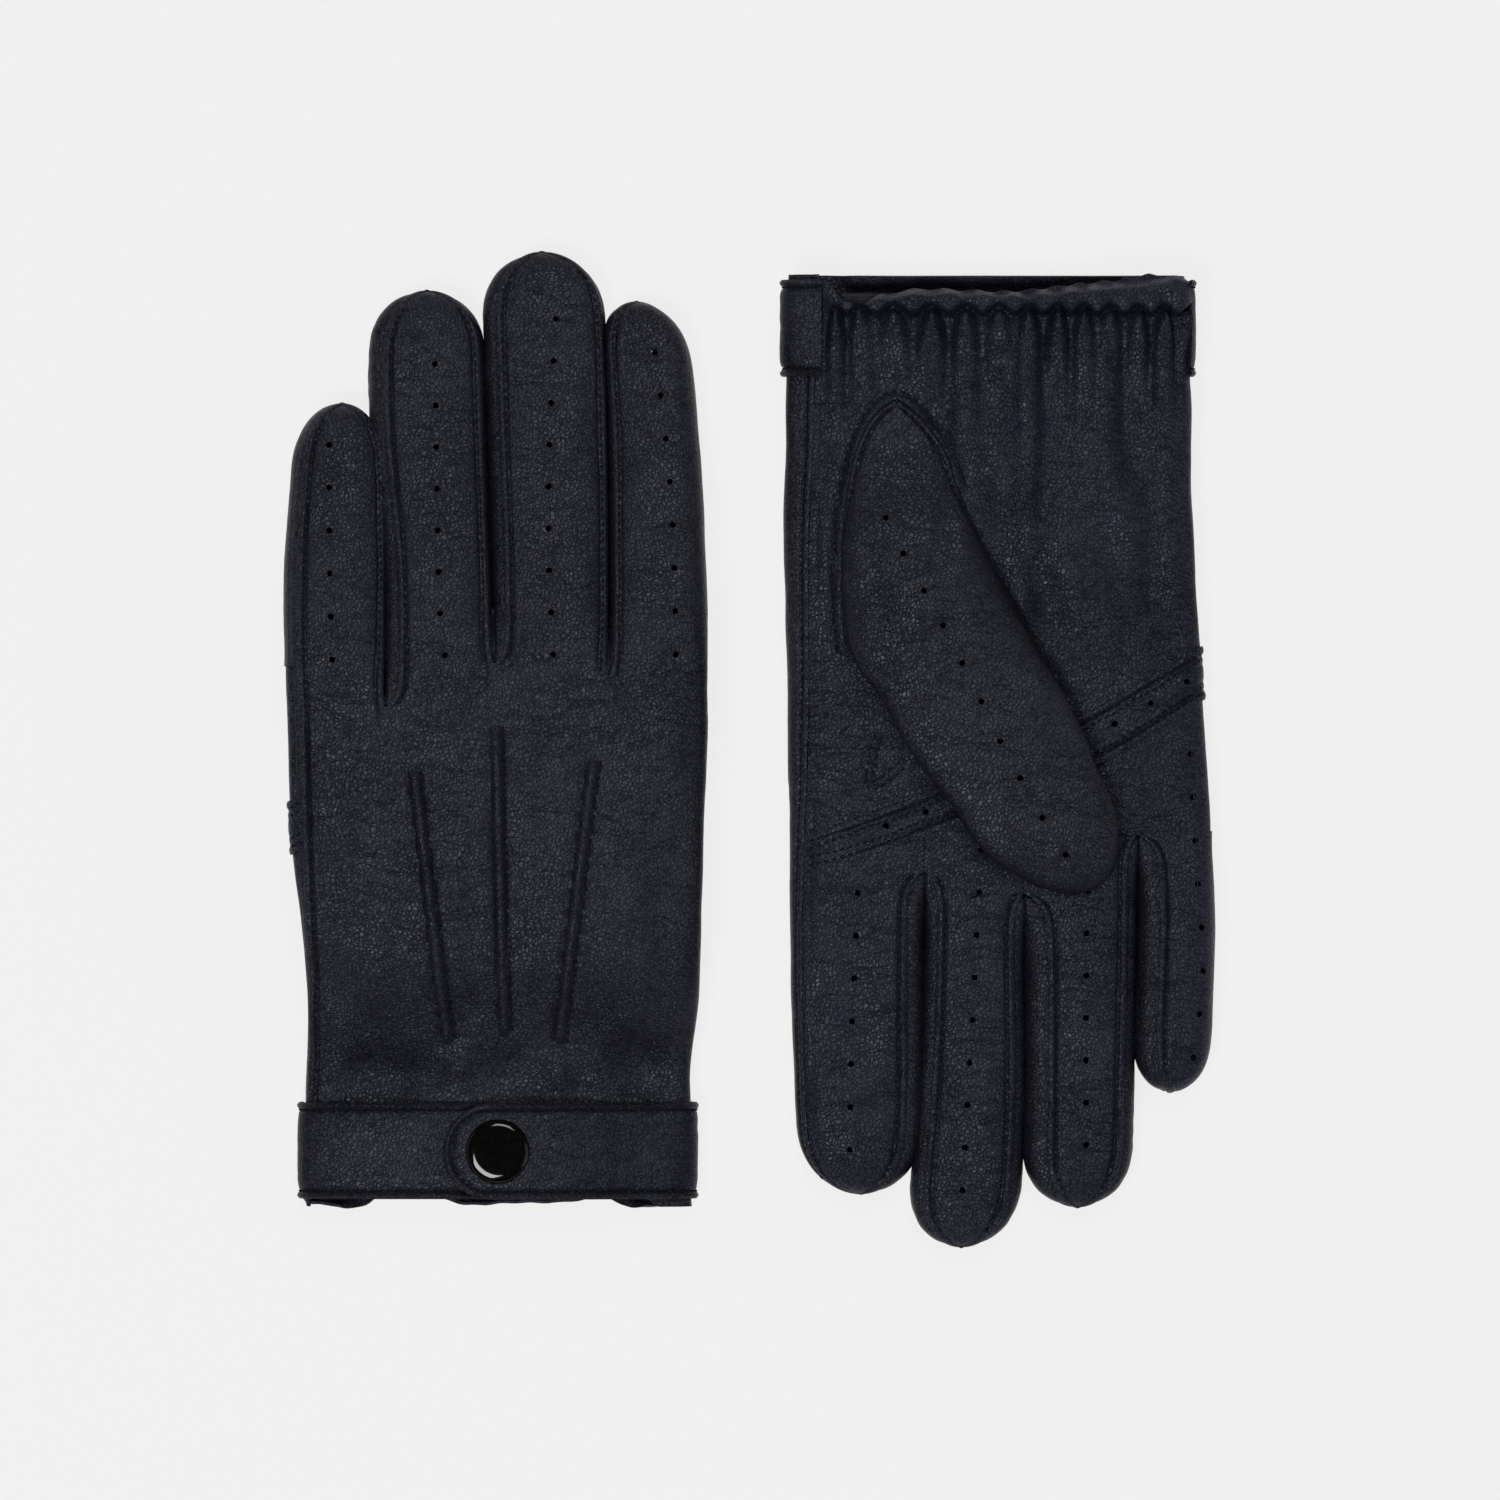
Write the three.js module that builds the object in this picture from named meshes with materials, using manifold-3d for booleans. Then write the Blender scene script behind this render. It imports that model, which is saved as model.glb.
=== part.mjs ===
// A pair of leather driving gloves, laid flat side by side. Millimetres, +Z up.
// The left glove lies back up with its fingers towards +Y, its thumb folded under the palm.
// The right glove lies palm up with its fingers towards -Y, its thumb folded over the palm.
// Each glove is cut and sewn from leather panels: a back, a palm in three parts, a back and a front for
// each finger, fourchettes between the fingers, and a thumb. A wrist strap in two parts closes with a snap.
//
// Both gloves are built by the same functions in one glove frame: fingers towards +Y, back towards +Z,
// index finger towards +X. The left glove stands in that frame. The right glove is its inversion through
// the origin, which mirrors the hand, turns the fingers round and puts the palm on top.

import * as THREE from "three";
import { mergeVertices } from "three/addons/utils/BufferGeometryUtils.js";
import Module from "manifold-3d";

const wasm = await Module();
wasm.setup();

// ---- Driving dimensions ----

const LEATHER = 0.9; // thickness of the glove leather
const GAP = 0.3; // clearance between neighbouring pieces
const FINGER_SPACE = 0.9; // gap between neighbouring fingers at the hinge line
const SQUARENESS = 0.62; // exponent of a tube's cross-section: 1 is an ellipse, 0 a rectangle
const THUMB_GAP = 0.5; // clearance between the folded thumb and the palm
const FLOOR_GAP = THUMB_GAP + 0.02; // how far the leather lies above the surface, away from what holds it up

const FLAT_TO = -80; // y up to which the wrist lies flat, under the strap
const HAND_ROWS = [0, 0.19, 0.27, 0.35, 0.44, 0.54, 0.68, 0.84, 1]; // rows of the long panels, from the hem
const CUFF_THICK = 10; // flat thickness of the whole glove at the wrist
const HAND_SWELL = 3; // added thickness over the hand
const FINGER_SLIM = 1.5; // thickness lost again towards the fingertips
const THUMB_THICK = 9.6; // how thick the folded thumb is, which lifts the palm off the surface

const KNUCKLE_Y = 30; // y at which the hand has its full width
const FINGER_SEAM = 40; // degrees: where a finger's back and front panels meet the fourchettes
const INDEX_SEAM = -42; // degrees: the outer seam on the index side, on the palm face
const LITTLE_SEAM = 157; // degrees: the outer seam on the little-finger side, on the back face
const FINGER_SEAM_GAP = 1.4; // degrees, half the gap between a finger's panels
const HAND_SEAM_GAP = 1; // degrees, half the gap between the hand's panels

const STRAP_THICK = 1.2;
const STRAP_HALF = 11.2; // half the strap's width
const STRAP_SEAT = 0.6; // how far the strap lies off the back leather
const TAB_SEAT = 3.8; // how far the tab lies off the back leather at the snap
const TAB_HINGE = 45; // degrees: where the tab starts to lift from its sewn end
const SNAP_X = -58.5;
const INNER_STRAP_END = -44.5;

const CAP_RADIUS = 7.5; // a size 24 snap, 15 mm across
const CAP_HEIGHT = 1.5;

const ELASTIC_WIDTH = 6;
const ELASTIC_THICK = 0.6;

// Each glove as it lies: outer edges of the hand at wrist and knuckles, the fingers from the little finger
// to the index finger, with left and right edges at the hinge line, and the heights it rests at.
const FINGER_NAMES = ["little", "ring", "middle", "index"];
const LEFT = {
  side: "left",
  wrist: [-103.2, -13.8],
  knuckles: [-108.4, -9.7],
  cuff: -107,
  strapY: -93.2,
  fingers: {
    little: { edges: [-108.4, -84.6], hinge: 24, tip: 80.7, tipX: -96.6, tipHalf: 9.6 },
    ring: { edges: [-83.7, -59.5], hinge: 37, tip: 106.8, tipX: -74.3, tipHalf: 9.6 },
    middle: { edges: [-58.6, -32.7], hinge: 36, tip: 116, tipX: -47.8, tipHalf: 10.6 },
    index: { edges: [-31.8, -9.7], hinge: 32, tip: 104.4, tipX: -25.0, tipHalf: 9.0 },
  },
  palm: (y) => FLOOR_GAP + thumbLift(y),
  back: (y) => FLOOR_GAP + thumbLift(y) + thickness(y),
};
const RIGHT = {
  side: "right",
  wrist: [-102.2, -9.2],
  knuckles: [-108.4, -8.2],
  cuff: -108.6,
  strapY: -98.0,
  fingers: {
    little: { edges: [-108.4, -91.2], hinge: 24, tip: 80.2, tipX: -98.4, tipHalf: 7.4 },
    ring: { edges: [-90.3, -64.2], hinge: 37, tip: 107.2, tipX: -76.6, tipHalf: 10.8 },
    middle: { edges: [-63.3, -39.9], hinge: 36, tip: 116, tipX: -49.2, tipHalf: 9.8 },
    index: { edges: [-39.0, -8.2], hinge: 32, tip: 104.5, tipX: -25.6, tipHalf: 10.4 },
  },
  palm: (y) => -snapLift(y) - thickness(y),
  back: (y) => -snapLift(y),
};

// ---- Heights along a glove ----

const { smoothstep, degToRad, lerp } = THREE.MathUtils;

function thickness(y) {
  return CUFF_THICK + HAND_SWELL * smoothstep(y, FLAT_TO, -50) - FINGER_SLIM * smoothstep(y, 20, 110);
}

function thumbLift(y) {
  return THUMB_THICK * smoothstep(y, FLAT_TO, -35) * (1 - smoothstep(y, 15, 95));
}

function snapLift(y) {
  const stack = TAB_SEAT + STRAP_THICK + 0.1 + CAP_HEIGHT;
  return FLOOR_GAP + (stack - FLOOR_GAP) * (1 - smoothstep(y, FLAT_TO, -10));
}

// ---- Tubes: a cross-section that changes along y ----

const rounded = (v) => Math.sign(v) * Math.abs(v) ** SQUARENESS;

// The point of a tube's wall at a turn in degrees (0 towards the index finger, 90 towards the back).
function onTube(tube, turn, y, inset) {
  const { x, z, a, b } = tube(y);
  const wall = Math.min(inset, 0.4 * b);
  const out = rounded(Math.cos(degToRad(turn)));
  const up = rounded(Math.sin(degToRad(turn)));
  return new THREE.Vector3(x + (a - wall) * out, y, z + (b - wall) * up);
}

// The turn on the back face at which a tube has the given x.
function turnAt(tube, y, x) {
  const { x: middle, a } = tube(y);
  const share = THREE.MathUtils.clamp((x - middle) / a, -1, 1);
  return THREE.MathUtils.radToDeg(Math.acos(Math.sign(share) * Math.abs(share) ** (1 / SQUARENESS)));
}

function handTube(glove) {
  return (y) => {
    const open = smoothstep(y, -80, 20);
    const left = lerp(glove.wrist[0], glove.knuckles[0], open);
    const right = lerp(glove.wrist[1], glove.knuckles[1], open);
    const [low, high] = [glove.palm(y), glove.back(y)];
    return { x: (left + right) / 2, z: (low + high) / 2, a: (right - left) / 2, b: (high - low) / 2 };
  };
}

const TIP_ROUND = 12; // length of a fingertip's rounded end

function fingerTube(glove, finger) {
  const [left, right] = finger.edges;
  return (y) => {
    const along = (y - finger.hinge) / (finger.tip - finger.hinge);
    const past = Math.max(0, y - (finger.tip - TIP_ROUND)) / TIP_ROUND;
    const close = Math.sqrt(Math.max(0, 1 - past * past));
    const [low, high] = [glove.palm(y), glove.back(y)];
    return {
      x: lerp((left + right) / 2, finger.tipX, along ** 1.4),
      z: (low + high) / 2,
      a: lerp((right - left) / 2, finger.tipHalf, along ** 1.2) * close,
      b: ((high - low) / 2) * close,
    };
  };
}

// ---- Sheets: closed solids between an outer and an inner grid of points ----

// outer and inner are rows of points, row by row the same way; the solid closes round all four edges.
function sheetGeometry(outer, inner) {
  const rows = outer.length;
  const columns = outer[0].length;
  const points = [...outer.flat(), ...inner.flat()];
  const at = (layer, i, j) => layer * rows * columns + i * columns + j;
  const faces = [];
  const quad = (a, b, c, d) => faces.push(a, c, b, a, d, c);
  for (let i = 0; i + 1 < rows; i++) {
    for (let j = 0; j + 1 < columns; j++) {
      quad(at(0, i, j), at(0, i + 1, j), at(0, i + 1, j + 1), at(0, i, j + 1));
      quad(at(1, i, j), at(1, i, j + 1), at(1, i + 1, j + 1), at(1, i + 1, j));
    }
    quad(at(0, i, 0), at(1, i, 0), at(1, i + 1, 0), at(0, i + 1, 0));
    quad(at(0, i, columns - 1), at(0, i + 1, columns - 1), at(1, i + 1, columns - 1), at(1, i, columns - 1));
  }
  for (let j = 0; j + 1 < columns; j++) {
    quad(at(0, 0, j), at(0, 0, j + 1), at(1, 0, j + 1), at(1, 0, j));
    quad(at(0, rows - 1, j), at(1, rows - 1, j), at(1, rows - 1, j + 1), at(0, rows - 1, j + 1));
  }
  const geometry = new THREE.BufferGeometry().setFromPoints(points);
  geometry.setIndex(faces);
  return geometry;
}

const evenShares = (steps) => Array.from({ length: steps + 1 }, (_, i) => i / steps);
const bunchedShares = (steps) => evenShares(steps).map((share) => Math.sin((Math.PI / 2) * share));

// Turns from one value to another in equal steps, with any extra ones added in order.
function turnsBetween(from, to, steps, extra = []) {
  const turns = Array.from({ length: steps + 1 }, (_, i) => lerp(from, to, i / steps));
  const inside = extra.filter((t) => t > from + 0.3 && t < to - 0.3);
  const kept = turns.filter((t, i) => i === 0 || i === steps || inside.every((e) => Math.abs(e - t) > 0.8));
  return [...kept, ...inside].sort((p, q) => p - q);
}

// A leather panel on a tube's wall. span(x) gives the panel's first and last y at an x read at datumY, and
// seat(x) how far its inner face lies off the wall: minus the thickness for the glove's own leather.
// shares are the places of the panel's rows, from 0 at its first y to 1 at its last.
function panelGeometry(tube, turns, shares, span, options = {}) {
  const { thick = LEATHER, seat = () => -LEATHER, datumY = KNUCKLE_Y } = options;
  const layer = (rise) =>
    turns.map((turn) => {
      const [y0, y1] = span(onTube(tube, turn, datumY, 0).x);
      return shares.map((share) => {
        const y = lerp(y0, y1, share);
        const { x } = onTube(tube, turn, y, 0);
        return onTube(tube, turn, y, -(seat(x) + rise));
      });
    });
  return sheetGeometry(layer(thick), layer(0));
}

// ---- Cutting ----

function solidOf(geometry) {
  const bare = geometry.clone();
  bare.deleteAttribute("normal");
  bare.deleteAttribute("uv");
  const merged = mergeVertices(bare, 1e-4);
  const vertProperties = new Float32Array(merged.attributes.position.array);
  const triVerts = new Uint32Array(merged.index.array);
  return new wasm.Manifold(new wasm.Mesh({ numProp: 3, vertProperties, triVerts }));
}

function geometryOf(solid) {
  const mesh = solid.getMesh();
  const geometry = new THREE.BufferGeometry();
  geometry.setAttribute("position", new THREE.BufferAttribute(new Float32Array(mesh.vertProperties), 3));
  geometry.setIndex(new THREE.BufferAttribute(new Uint32Array(mesh.triVerts), 1));
  return geometry;
}

const cut = (geometry, tool) => geometryOf(solidOf(geometry).subtract(solidOf(tool)));

function boreTool(x, y, z, radius) {
  const tool = new THREE.CylinderGeometry(radius, radius, 8, 20);
  tool.rotateX(Math.PI / 2);
  tool.translate(x, y, z);
  return tool;
}

// ---- Materials ----

const colours = {
  leather: new THREE.MeshStandardMaterial({ color: 0x2a2b33, roughness: 0.55, metalness: 0 }),
  strapLeather: new THREE.MeshStandardMaterial({ color: 0x26272e, roughness: 0.6, metalness: 0 }),
  enamel: new THREE.MeshStandardMaterial({ color: 0x050505, roughness: 0.12, metalness: 0.2 }),
  brass: new THREE.MeshStandardMaterial({ color: 0x3a3834, roughness: 0.35, metalness: 1 }),
  elastic: new THREE.MeshStandardMaterial({ color: 0x1b1c22, roughness: 0.9, metalness: 0 }),
};

// ---- Palm band: the perforated strip that crosses the palm on a slant ----

const BAND_START = -13; // x where the band meets the outer seam on the index side

function band(x) {
  const across = BAND_START - x;
  return 20.2 - 0.36 * across - 0.0013 * across * across;
}

const bandWidth = (x) => 9 + 0.035 * (BAND_START - x);

// ---- Hand panels ----

// The y at which the hand ends and the finger in front of it starts.
function hingeAt(glove, x) {
  const name = FINGER_NAMES.find((n) => x < glove.fingers[n].edges[1] + FINGER_SPACE / 2) ?? "index";
  return glove.fingers[name].hinge;
}

// Turns just either side of each gap between fingers, on the back face or the palm face.
function stepTurns(glove, tube, palmFace) {
  const turns = FINGER_NAMES.slice(0, 3).flatMap((name) => {
    const x = glove.fingers[name].edges[1] + FINGER_SPACE / 2;
    return [x - FINGER_SPACE / 4, x + FINGER_SPACE / 4].map((side) => turnAt(tube, KNUCKLE_Y, side));
  });
  return palmFace ? turns.map((t) => 360 - t) : turns;
}

function handPanels(glove) {
  const tube = handTube(glove);
  const backFrom = INDEX_SEAM + HAND_SEAM_GAP;
  const backTo = LITTLE_SEAM - HAND_SEAM_GAP;
  const backTurns = turnsBetween(backFrom, backTo, 22, stepTurns(glove, tube, false));
  const palmFrom = LITTLE_SEAM + HAND_SEAM_GAP;
  const palmTo = 360 + INDEX_SEAM - HAND_SEAM_GAP;
  const palmTurns = turnsBetween(palmFrom, palmTo, 20, stepTurns(glove, tube, true));
  const hand = (x) => hingeAt(glove, x) - GAP / 2;
  const front = (x) => band(x) + bandWidth(x);
  const heel = panelGeometry(tube, palmTurns, HAND_ROWS, (x) => [glove.cuff, band(x) - GAP / 2]);
  const elasticSpan = () => [glove.cuff + 2.5, glove.cuff + 2.5 + ELASTIC_WIDTH];
  return {
    back: panelGeometry(tube, backTurns, HAND_ROWS, (x) => [glove.cuff, hand(x)]),
    palm_heel: cut(heel, thumbHoleTool(glove)),
    palm_band: panelGeometry(tube, palmTurns, evenShares(1), (x) => [band(x) + GAP / 2, front(x) - GAP / 2]),
    palm_front: panelGeometry(tube, palmTurns, evenShares(3), (x) => [front(x) + GAP / 2, hand(x)]),
    wrist_elastic: panelGeometry(tube, turnsBetween(190, 310, 10), evenShares(1), elasticSpan, {
      thick: ELASTIC_THICK,
      seat: () => -LEATHER - GAP - ELASTIC_THICK,
    }),
  };
}

// ---- Fingers ----

function fingerPanels(glove, name) {
  const finger = glove.fingers[name];
  const tube = fingerTube(glove, finger);
  const span = () => [finger.hinge + GAP / 2, finger.tip - 0.1];
  const seam = FINGER_SEAM;
  const outerIndex = name === "index";
  const outerLittle = name === "little";
  const backFrom = outerIndex ? INDEX_SEAM : seam;
  const backTo = outerLittle ? LITTLE_SEAM : 180 - seam;
  const strip = (from, to, steps) => {
    const turns = turnsBetween(from + FINGER_SEAM_GAP, to - FINGER_SEAM_GAP, steps);
    return panelGeometry(tube, turns, bunchedShares(8), span);
  };
  const frontFrom = outerLittle ? LITTLE_SEAM : 180 + seam;
  const frontTo = outerIndex ? 360 + INDEX_SEAM : 360 - seam;
  const panels = {
    back: strip(backFrom, backTo, outerIndex ? 9 : 6),
    front: strip(frontFrom, frontTo, outerLittle ? 9 : 6),
  };
  if (!outerIndex) panels.fourchette_index_side = strip(-seam, seam, 4);
  if (!outerLittle) panels.fourchette_little_side = strip(180 - seam, 180 + seam, 4);
  return panels;
}

// ---- Thumb: a flattened tube folded diagonally across the palm ----

const THUMB_LINE = [
  [-33, -78, 4],
  [-36, -60, 11],
  [-41, -40, 16.5],
  [-49, -19, 18],
  [-59, 0, 16],
  [-68.5, 16, 14.8],
  [-77, 33, 14],
]; // x, y and half width from wrist to tip
const THUMB_HINGE = 0.46; // share of the line at which the free part of the thumb starts
const THUMB_HINGE_GAP = 0.002;
const THUMB_END = 0.998;

function thumbAt(t) {
  const line = new THREE.CatmullRomCurve3(THUMB_LINE.map(([x, y]) => new THREE.Vector3(x, y, 0)));
  const place = line.getPointAt(t);
  const along = line.getTangentAt(t);
  const widths = new THREE.CatmullRomCurve3(THUMB_LINE.map(([, , w]) => new THREE.Vector3(w, 0, 0)));
  const closing = t < 0.1 ? 1 - t / 0.1 : Math.max(0, (t - 0.87) / 0.13);
  const close = Math.sqrt(Math.max(0.004, 1 - closing * closing));
  const across = new THREE.Vector3(-along.y, along.x, 0);
  return { place, across, half: widths.getPoint(t).x * close, close };
}

// The wall's point at a turn: 0 and 180 are its edges, 90 faces the palm and 270 faces away from it.
function onThumb(glove, turn, t, inset) {
  const { place, across, half, close } = thumbAt(t);
  const deep = (thumbLift(place.y) + 0.02) * close;
  const free = smoothstep(t, 0.28, THUMB_HINGE); // 0 where it is sewn to the palm, 1 where it is a full tube
  const b = deep * (1 - free / 2);
  const wall = Math.min(inset, 0.35 * b);
  const angle = degToRad(turn);
  const middle = glove.palm(place.y) - THUMB_GAP - (free * deep) / 2;
  const point = place.clone().addScaledVector(across, (half - wall) * -rounded(Math.cos(angle)));
  point.z = middle + (b - wall) * rounded(Math.sin(angle));
  return point;
}

function thumbPanel(glove, turns, t0, t1, steps) {
  const shares = Array.from({ length: steps + 1 }, (_, i) => (1 - Math.cos((Math.PI * i) / steps)) / 2);
  const row = (turn, inset) => shares.map((share) => onThumb(glove, turn, lerp(t0, t1, share), inset));
  const layer = (inset) => turns.map((turn) => row(turn, inset));
  return sheetGeometry(layer(0), layer(LEATHER));
}

function thumbPanels(glove) {
  const around = turnsBetween(182, 358, 11);
  return {
    base: thumbPanel(glove, around, 0.004, THUMB_HINGE - THUMB_HINGE_GAP, 7),
    outer: thumbPanel(glove, around, THUMB_HINGE + THUMB_HINGE_GAP, THUMB_END, 9),
    inner: thumbPanel(glove, turnsBetween(2, 178, 6), THUMB_HINGE + THUMB_HINGE_GAP, THUMB_END, 9),
  };
}

// The opening in the palm that the thumb is sewn round.
function thumbHoleTool(glove) {
  const rim = [0.08, 0.16, 0.24, 0.32, 0.4];
  const edge = (side) =>
    rim.map((t) => {
      const { place, across, half } = thumbAt(t);
      return place.clone().addScaledVector(across, side * (half - 2.6));
    });
  const outline = [...edge(1), ...edge(-1).reverse()].map((p) => new THREE.Vector2(p.x, p.y));
  const tool = new THREE.ExtrudeGeometry(new THREE.Shape(outline), { depth: 6, bevelEnabled: false });
  tool.translate(0, 0, glove.palm(-50) - 3);
  return tool;
}

// ---- Strap and snap ----

function strapPanels(glove) {
  const tube = handTube(glove);
  const y = glove.strapY;
  const seatZ = glove.back(y);
  const full = () => [y - STRAP_HALF, y + STRAP_HALF];
  const tabEnd = SNAP_X - STRAP_HALF - 1;
  const tabSpan = (x) => {
    const past = Math.max(0, SNAP_X - 1 - x) / STRAP_HALF;
    const half = STRAP_HALF * Math.sqrt(Math.max(0.02, 1 - past * past));
    return [y - half, y + half];
  };
  const at = (x) => turnAt(tube, y, x);
  const lift = (x) => STRAP_SEAT + (TAB_SEAT - STRAP_SEAT) * smoothstep(-x, 29, 41);
  const roundEnd = [0.35, 0.6, 0.78, 0.9, 0.97].map((s) => at(SNAP_X - 1 - STRAP_HALF * s));
  const tabTurns = [...turnsBetween(TAB_HINGE + 0.5, at(SNAP_X - 1), 12), ...roundEnd, at(tabEnd)];
  const onTab = { thick: STRAP_THICK, seat: lift, datumY: y };
  const tab = panelGeometry(tube, tabTurns, evenShares(4), tabSpan, onTab);
  const onBack = { thick: STRAP_THICK, seat: () => STRAP_SEAT, datumY: y };
  const inner = panelGeometry(tube, turnsBetween(at(INNER_STRAP_END), 192, 12), evenShares(1), full, onBack);
  const anchorTurns = turnsBetween(INDEX_SEAM, TAB_HINGE - 0.5, 9);
  return {
    strap_anchor: panelGeometry(tube, anchorTurns, evenShares(1), full, onBack),
    strap_inner: cut(inner, boreTool(SNAP_X, y, seatZ, 1.2)),
    strap_tab: cut(tab, boreTool(SNAP_X, y, seatZ + TAB_SEAT, 1.9)),
  };
}

// A turned piece from its half profile, as pairs of radius and height above the back leather.
function turned(glove, profile) {
  const lathe = new THREE.LatheGeometry(
    profile.map(([r, h]) => new THREE.Vector2(r, h)),
    20,
  );
  lathe.rotateX(Math.PI / 2);
  lathe.translate(SNAP_X, glove.strapY, glove.back(glove.strapY));
  return lathe;
}

function snapPieces(glove) {
  const tabTop = TAB_SEAT + STRAP_THICK + 0.1;
  const capTop = tabTop + CAP_HEIGHT;
  const strapTop = STRAP_SEAT + STRAP_THICK;
  return {
    // Domed cap with a flat crown and a post through the tab.
    snap_cap: turned(glove, [
      [0, TAB_SEAT + 0.3],
      [1.6, TAB_SEAT + 0.3],
      [1.6, tabTop],
      [CAP_RADIUS - 0.4, tabTop],
      [CAP_RADIUS, tabTop + 0.4],
      [CAP_RADIUS - 0.3, tabTop + 0.9],
      [CAP_RADIUS - 1.2, capTop - 0.15],
      [5.0, capTop],
      [0, capTop],
    ]),
    // Socket ring under the tab, which springs over the stud's head.
    snap_socket: turned(glove, [
      [2.75, TAB_SEAT - 1.3],
      [4.8, TAB_SEAT - 1.3],
      [5.4, TAB_SEAT - 0.8],
      [5.4, TAB_SEAT - 0.1],
      [2.75, TAB_SEAT - 0.1],
      [2.75, TAB_SEAT - 1.3],
    ]),
    // Stud on the inner strap, with a bore for the post's pin.
    snap_stud: turned(glove, [
      [1.0, strapTop + 0.1],
      [4.6, strapTop + 0.1],
      [4.6, strapTop + 0.4],
      [2.1, strapTop + 0.4],
      [2.4, strapTop + 1.2],
      [2.0, strapTop + 1.5],
      [1.0, strapTop + 1.5],
      [1.0, strapTop + 0.1],
    ]),
    // Post whose flange holds the inner strap from below.
    snap_post: turned(glove, [
      [0, 0.1],
      [4.2, 0.1],
      [4.2, 0.45],
      [0.75, 0.45],
      [0.75, strapTop + 1.3],
      [0, strapTop + 1.3],
    ]),
  };
}

// ---- Assembly ----

function addPieces(group, prefix, geometries, material) {
  for (const [name, geometry] of Object.entries(geometries)) {
    geometry.computeVertexNormals();
    const mesh = new THREE.Mesh(geometry, material);
    mesh.name = `${prefix}_${name}`;
    group.add(mesh);
  }
}

function buildGlove(glove) {
  const group = new THREE.Group();
  const { wrist_elastic, ...leatherPanels } = handPanels(glove);
  addPieces(group, glove.side, leatherPanels, colours.leather);
  addPieces(group, glove.side, { wrist_elastic }, colours.elastic);
  for (const name of FINGER_NAMES) {
    addPieces(group, `${glove.side}_${name}`, fingerPanels(glove, name), colours.leather);
  }
  addPieces(group, `${glove.side}_thumb`, thumbPanels(glove), colours.leather);
  addPieces(group, glove.side, strapPanels(glove), colours.strapLeather);
  const { snap_cap, ...springParts } = snapPieces(glove);
  addPieces(group, glove.side, { snap_cap }, colours.enamel);
  addPieces(group, glove.side, springParts, colours.brass);
  return group;
}

const pair = new THREE.Group();
pair.add(buildGlove(LEFT));
const rightGlove = buildGlove(RIGHT);
rightGlove.scale.set(-1, -1, -1);
pair.add(rightGlove);

export default pair;
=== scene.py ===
"""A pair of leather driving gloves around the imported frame: leather, stitching, snaps and studio light.

Each glove is drawn in its own glove space, in millimetres: u runs across the hand towards the index finger,
v from the cuff's hem to the fingertips and z towards the back of the hand. Glove.world() takes that to the
frame, where the left glove lies on its palm and the right glove on its back, turned end for end.
"""

import math

import bpy
import numpy as np
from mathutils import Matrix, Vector


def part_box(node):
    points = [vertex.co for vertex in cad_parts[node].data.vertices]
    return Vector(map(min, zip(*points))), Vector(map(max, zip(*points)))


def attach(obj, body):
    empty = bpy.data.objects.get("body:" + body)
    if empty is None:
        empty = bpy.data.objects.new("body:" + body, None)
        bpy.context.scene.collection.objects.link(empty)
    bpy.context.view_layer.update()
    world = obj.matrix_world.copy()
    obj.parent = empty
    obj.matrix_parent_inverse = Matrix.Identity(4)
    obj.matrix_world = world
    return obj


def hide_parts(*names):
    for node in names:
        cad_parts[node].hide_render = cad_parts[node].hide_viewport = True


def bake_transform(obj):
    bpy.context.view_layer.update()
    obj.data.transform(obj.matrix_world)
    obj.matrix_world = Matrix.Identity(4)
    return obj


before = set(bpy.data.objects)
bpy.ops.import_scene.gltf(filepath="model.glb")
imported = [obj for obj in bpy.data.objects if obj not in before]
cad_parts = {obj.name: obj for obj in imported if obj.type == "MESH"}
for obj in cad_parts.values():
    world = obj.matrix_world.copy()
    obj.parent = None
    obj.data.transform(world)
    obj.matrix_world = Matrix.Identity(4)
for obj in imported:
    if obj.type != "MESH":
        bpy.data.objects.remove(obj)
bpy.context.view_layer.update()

MM = 0.001
GRID = 0.62  # spacing of the leather meshes, mm
EDGE_GRID = 0.30  # and of their columns next to a sewn edge
LEATHER = 0.8  # leather thickness
LAP = 0.35  # how far a panel's edge stands off the piece it is sewn over
SQUARE = 0.62  # exponent of the hand's cross-section: 1 is an ellipse, 0 a rectangle
FINGER_SQUARE = 0.70
HOLE_RADIUS = 0.74
HOLE_FACING = 0.4  # a hole is only punched where the leather faces outwards at least this much
PEBBLE_SCALE = 1050  # pebbles of the leather's grain in a metre
SKIN = 0.6  # how far the leather's outer face stands off the outline that it is laid over
FINGER_GAP = 0.08  # each finger's half of the gap to the next
FORK_DROP = 0.55  # how far a fourchette lies below the panels sewn over it
FORK_TUCK = 1.6  # how far, in columns of its mesh, it runs in under them
FRONT_OUTER_SEAM = 0.15  # how much of a seam shows where a finger's front turns round the glove's edge
STITCH_PITCH = 1.9
STITCH_LENGTH = 1.35
STITCH_WIDTH = 0.48
STITCH_RISE = 0.10  # of a stitch's middle over the leather
STITCH_INSET = 1.8  # from a panel's edge to its row of stitches
SPLIT_BACK = 112.0  # v at which the back of the hand passes into the fingers
SPLIT_PALM = 126.0  # and the palm into the finger fronts
SPLIT_LAP = 0.03  # how far the panels of hand and finger lap at the split
SEAM_LAP = 2.5  # how far the palm's pieces run in under its band
BACKWARDS = (0, 0, 1)  # the way that the back of the hand faces, in glove space
PALMWARDS = (0, 0, -1)
FOLD_DEPTH = 1.8
TIP_TURN = math.pi / 2 * 0.985  # how far round a fingertip its rows of points go


# ---- Small numeric helpers ----


def smooth(x, low, high):
    t = np.clip((np.asarray(x, float) - low) / (high - low), 0, 1)
    return t * t * (3 - 2 * t)


def mix(a, b, t):
    return a + (b - a) * t


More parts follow.
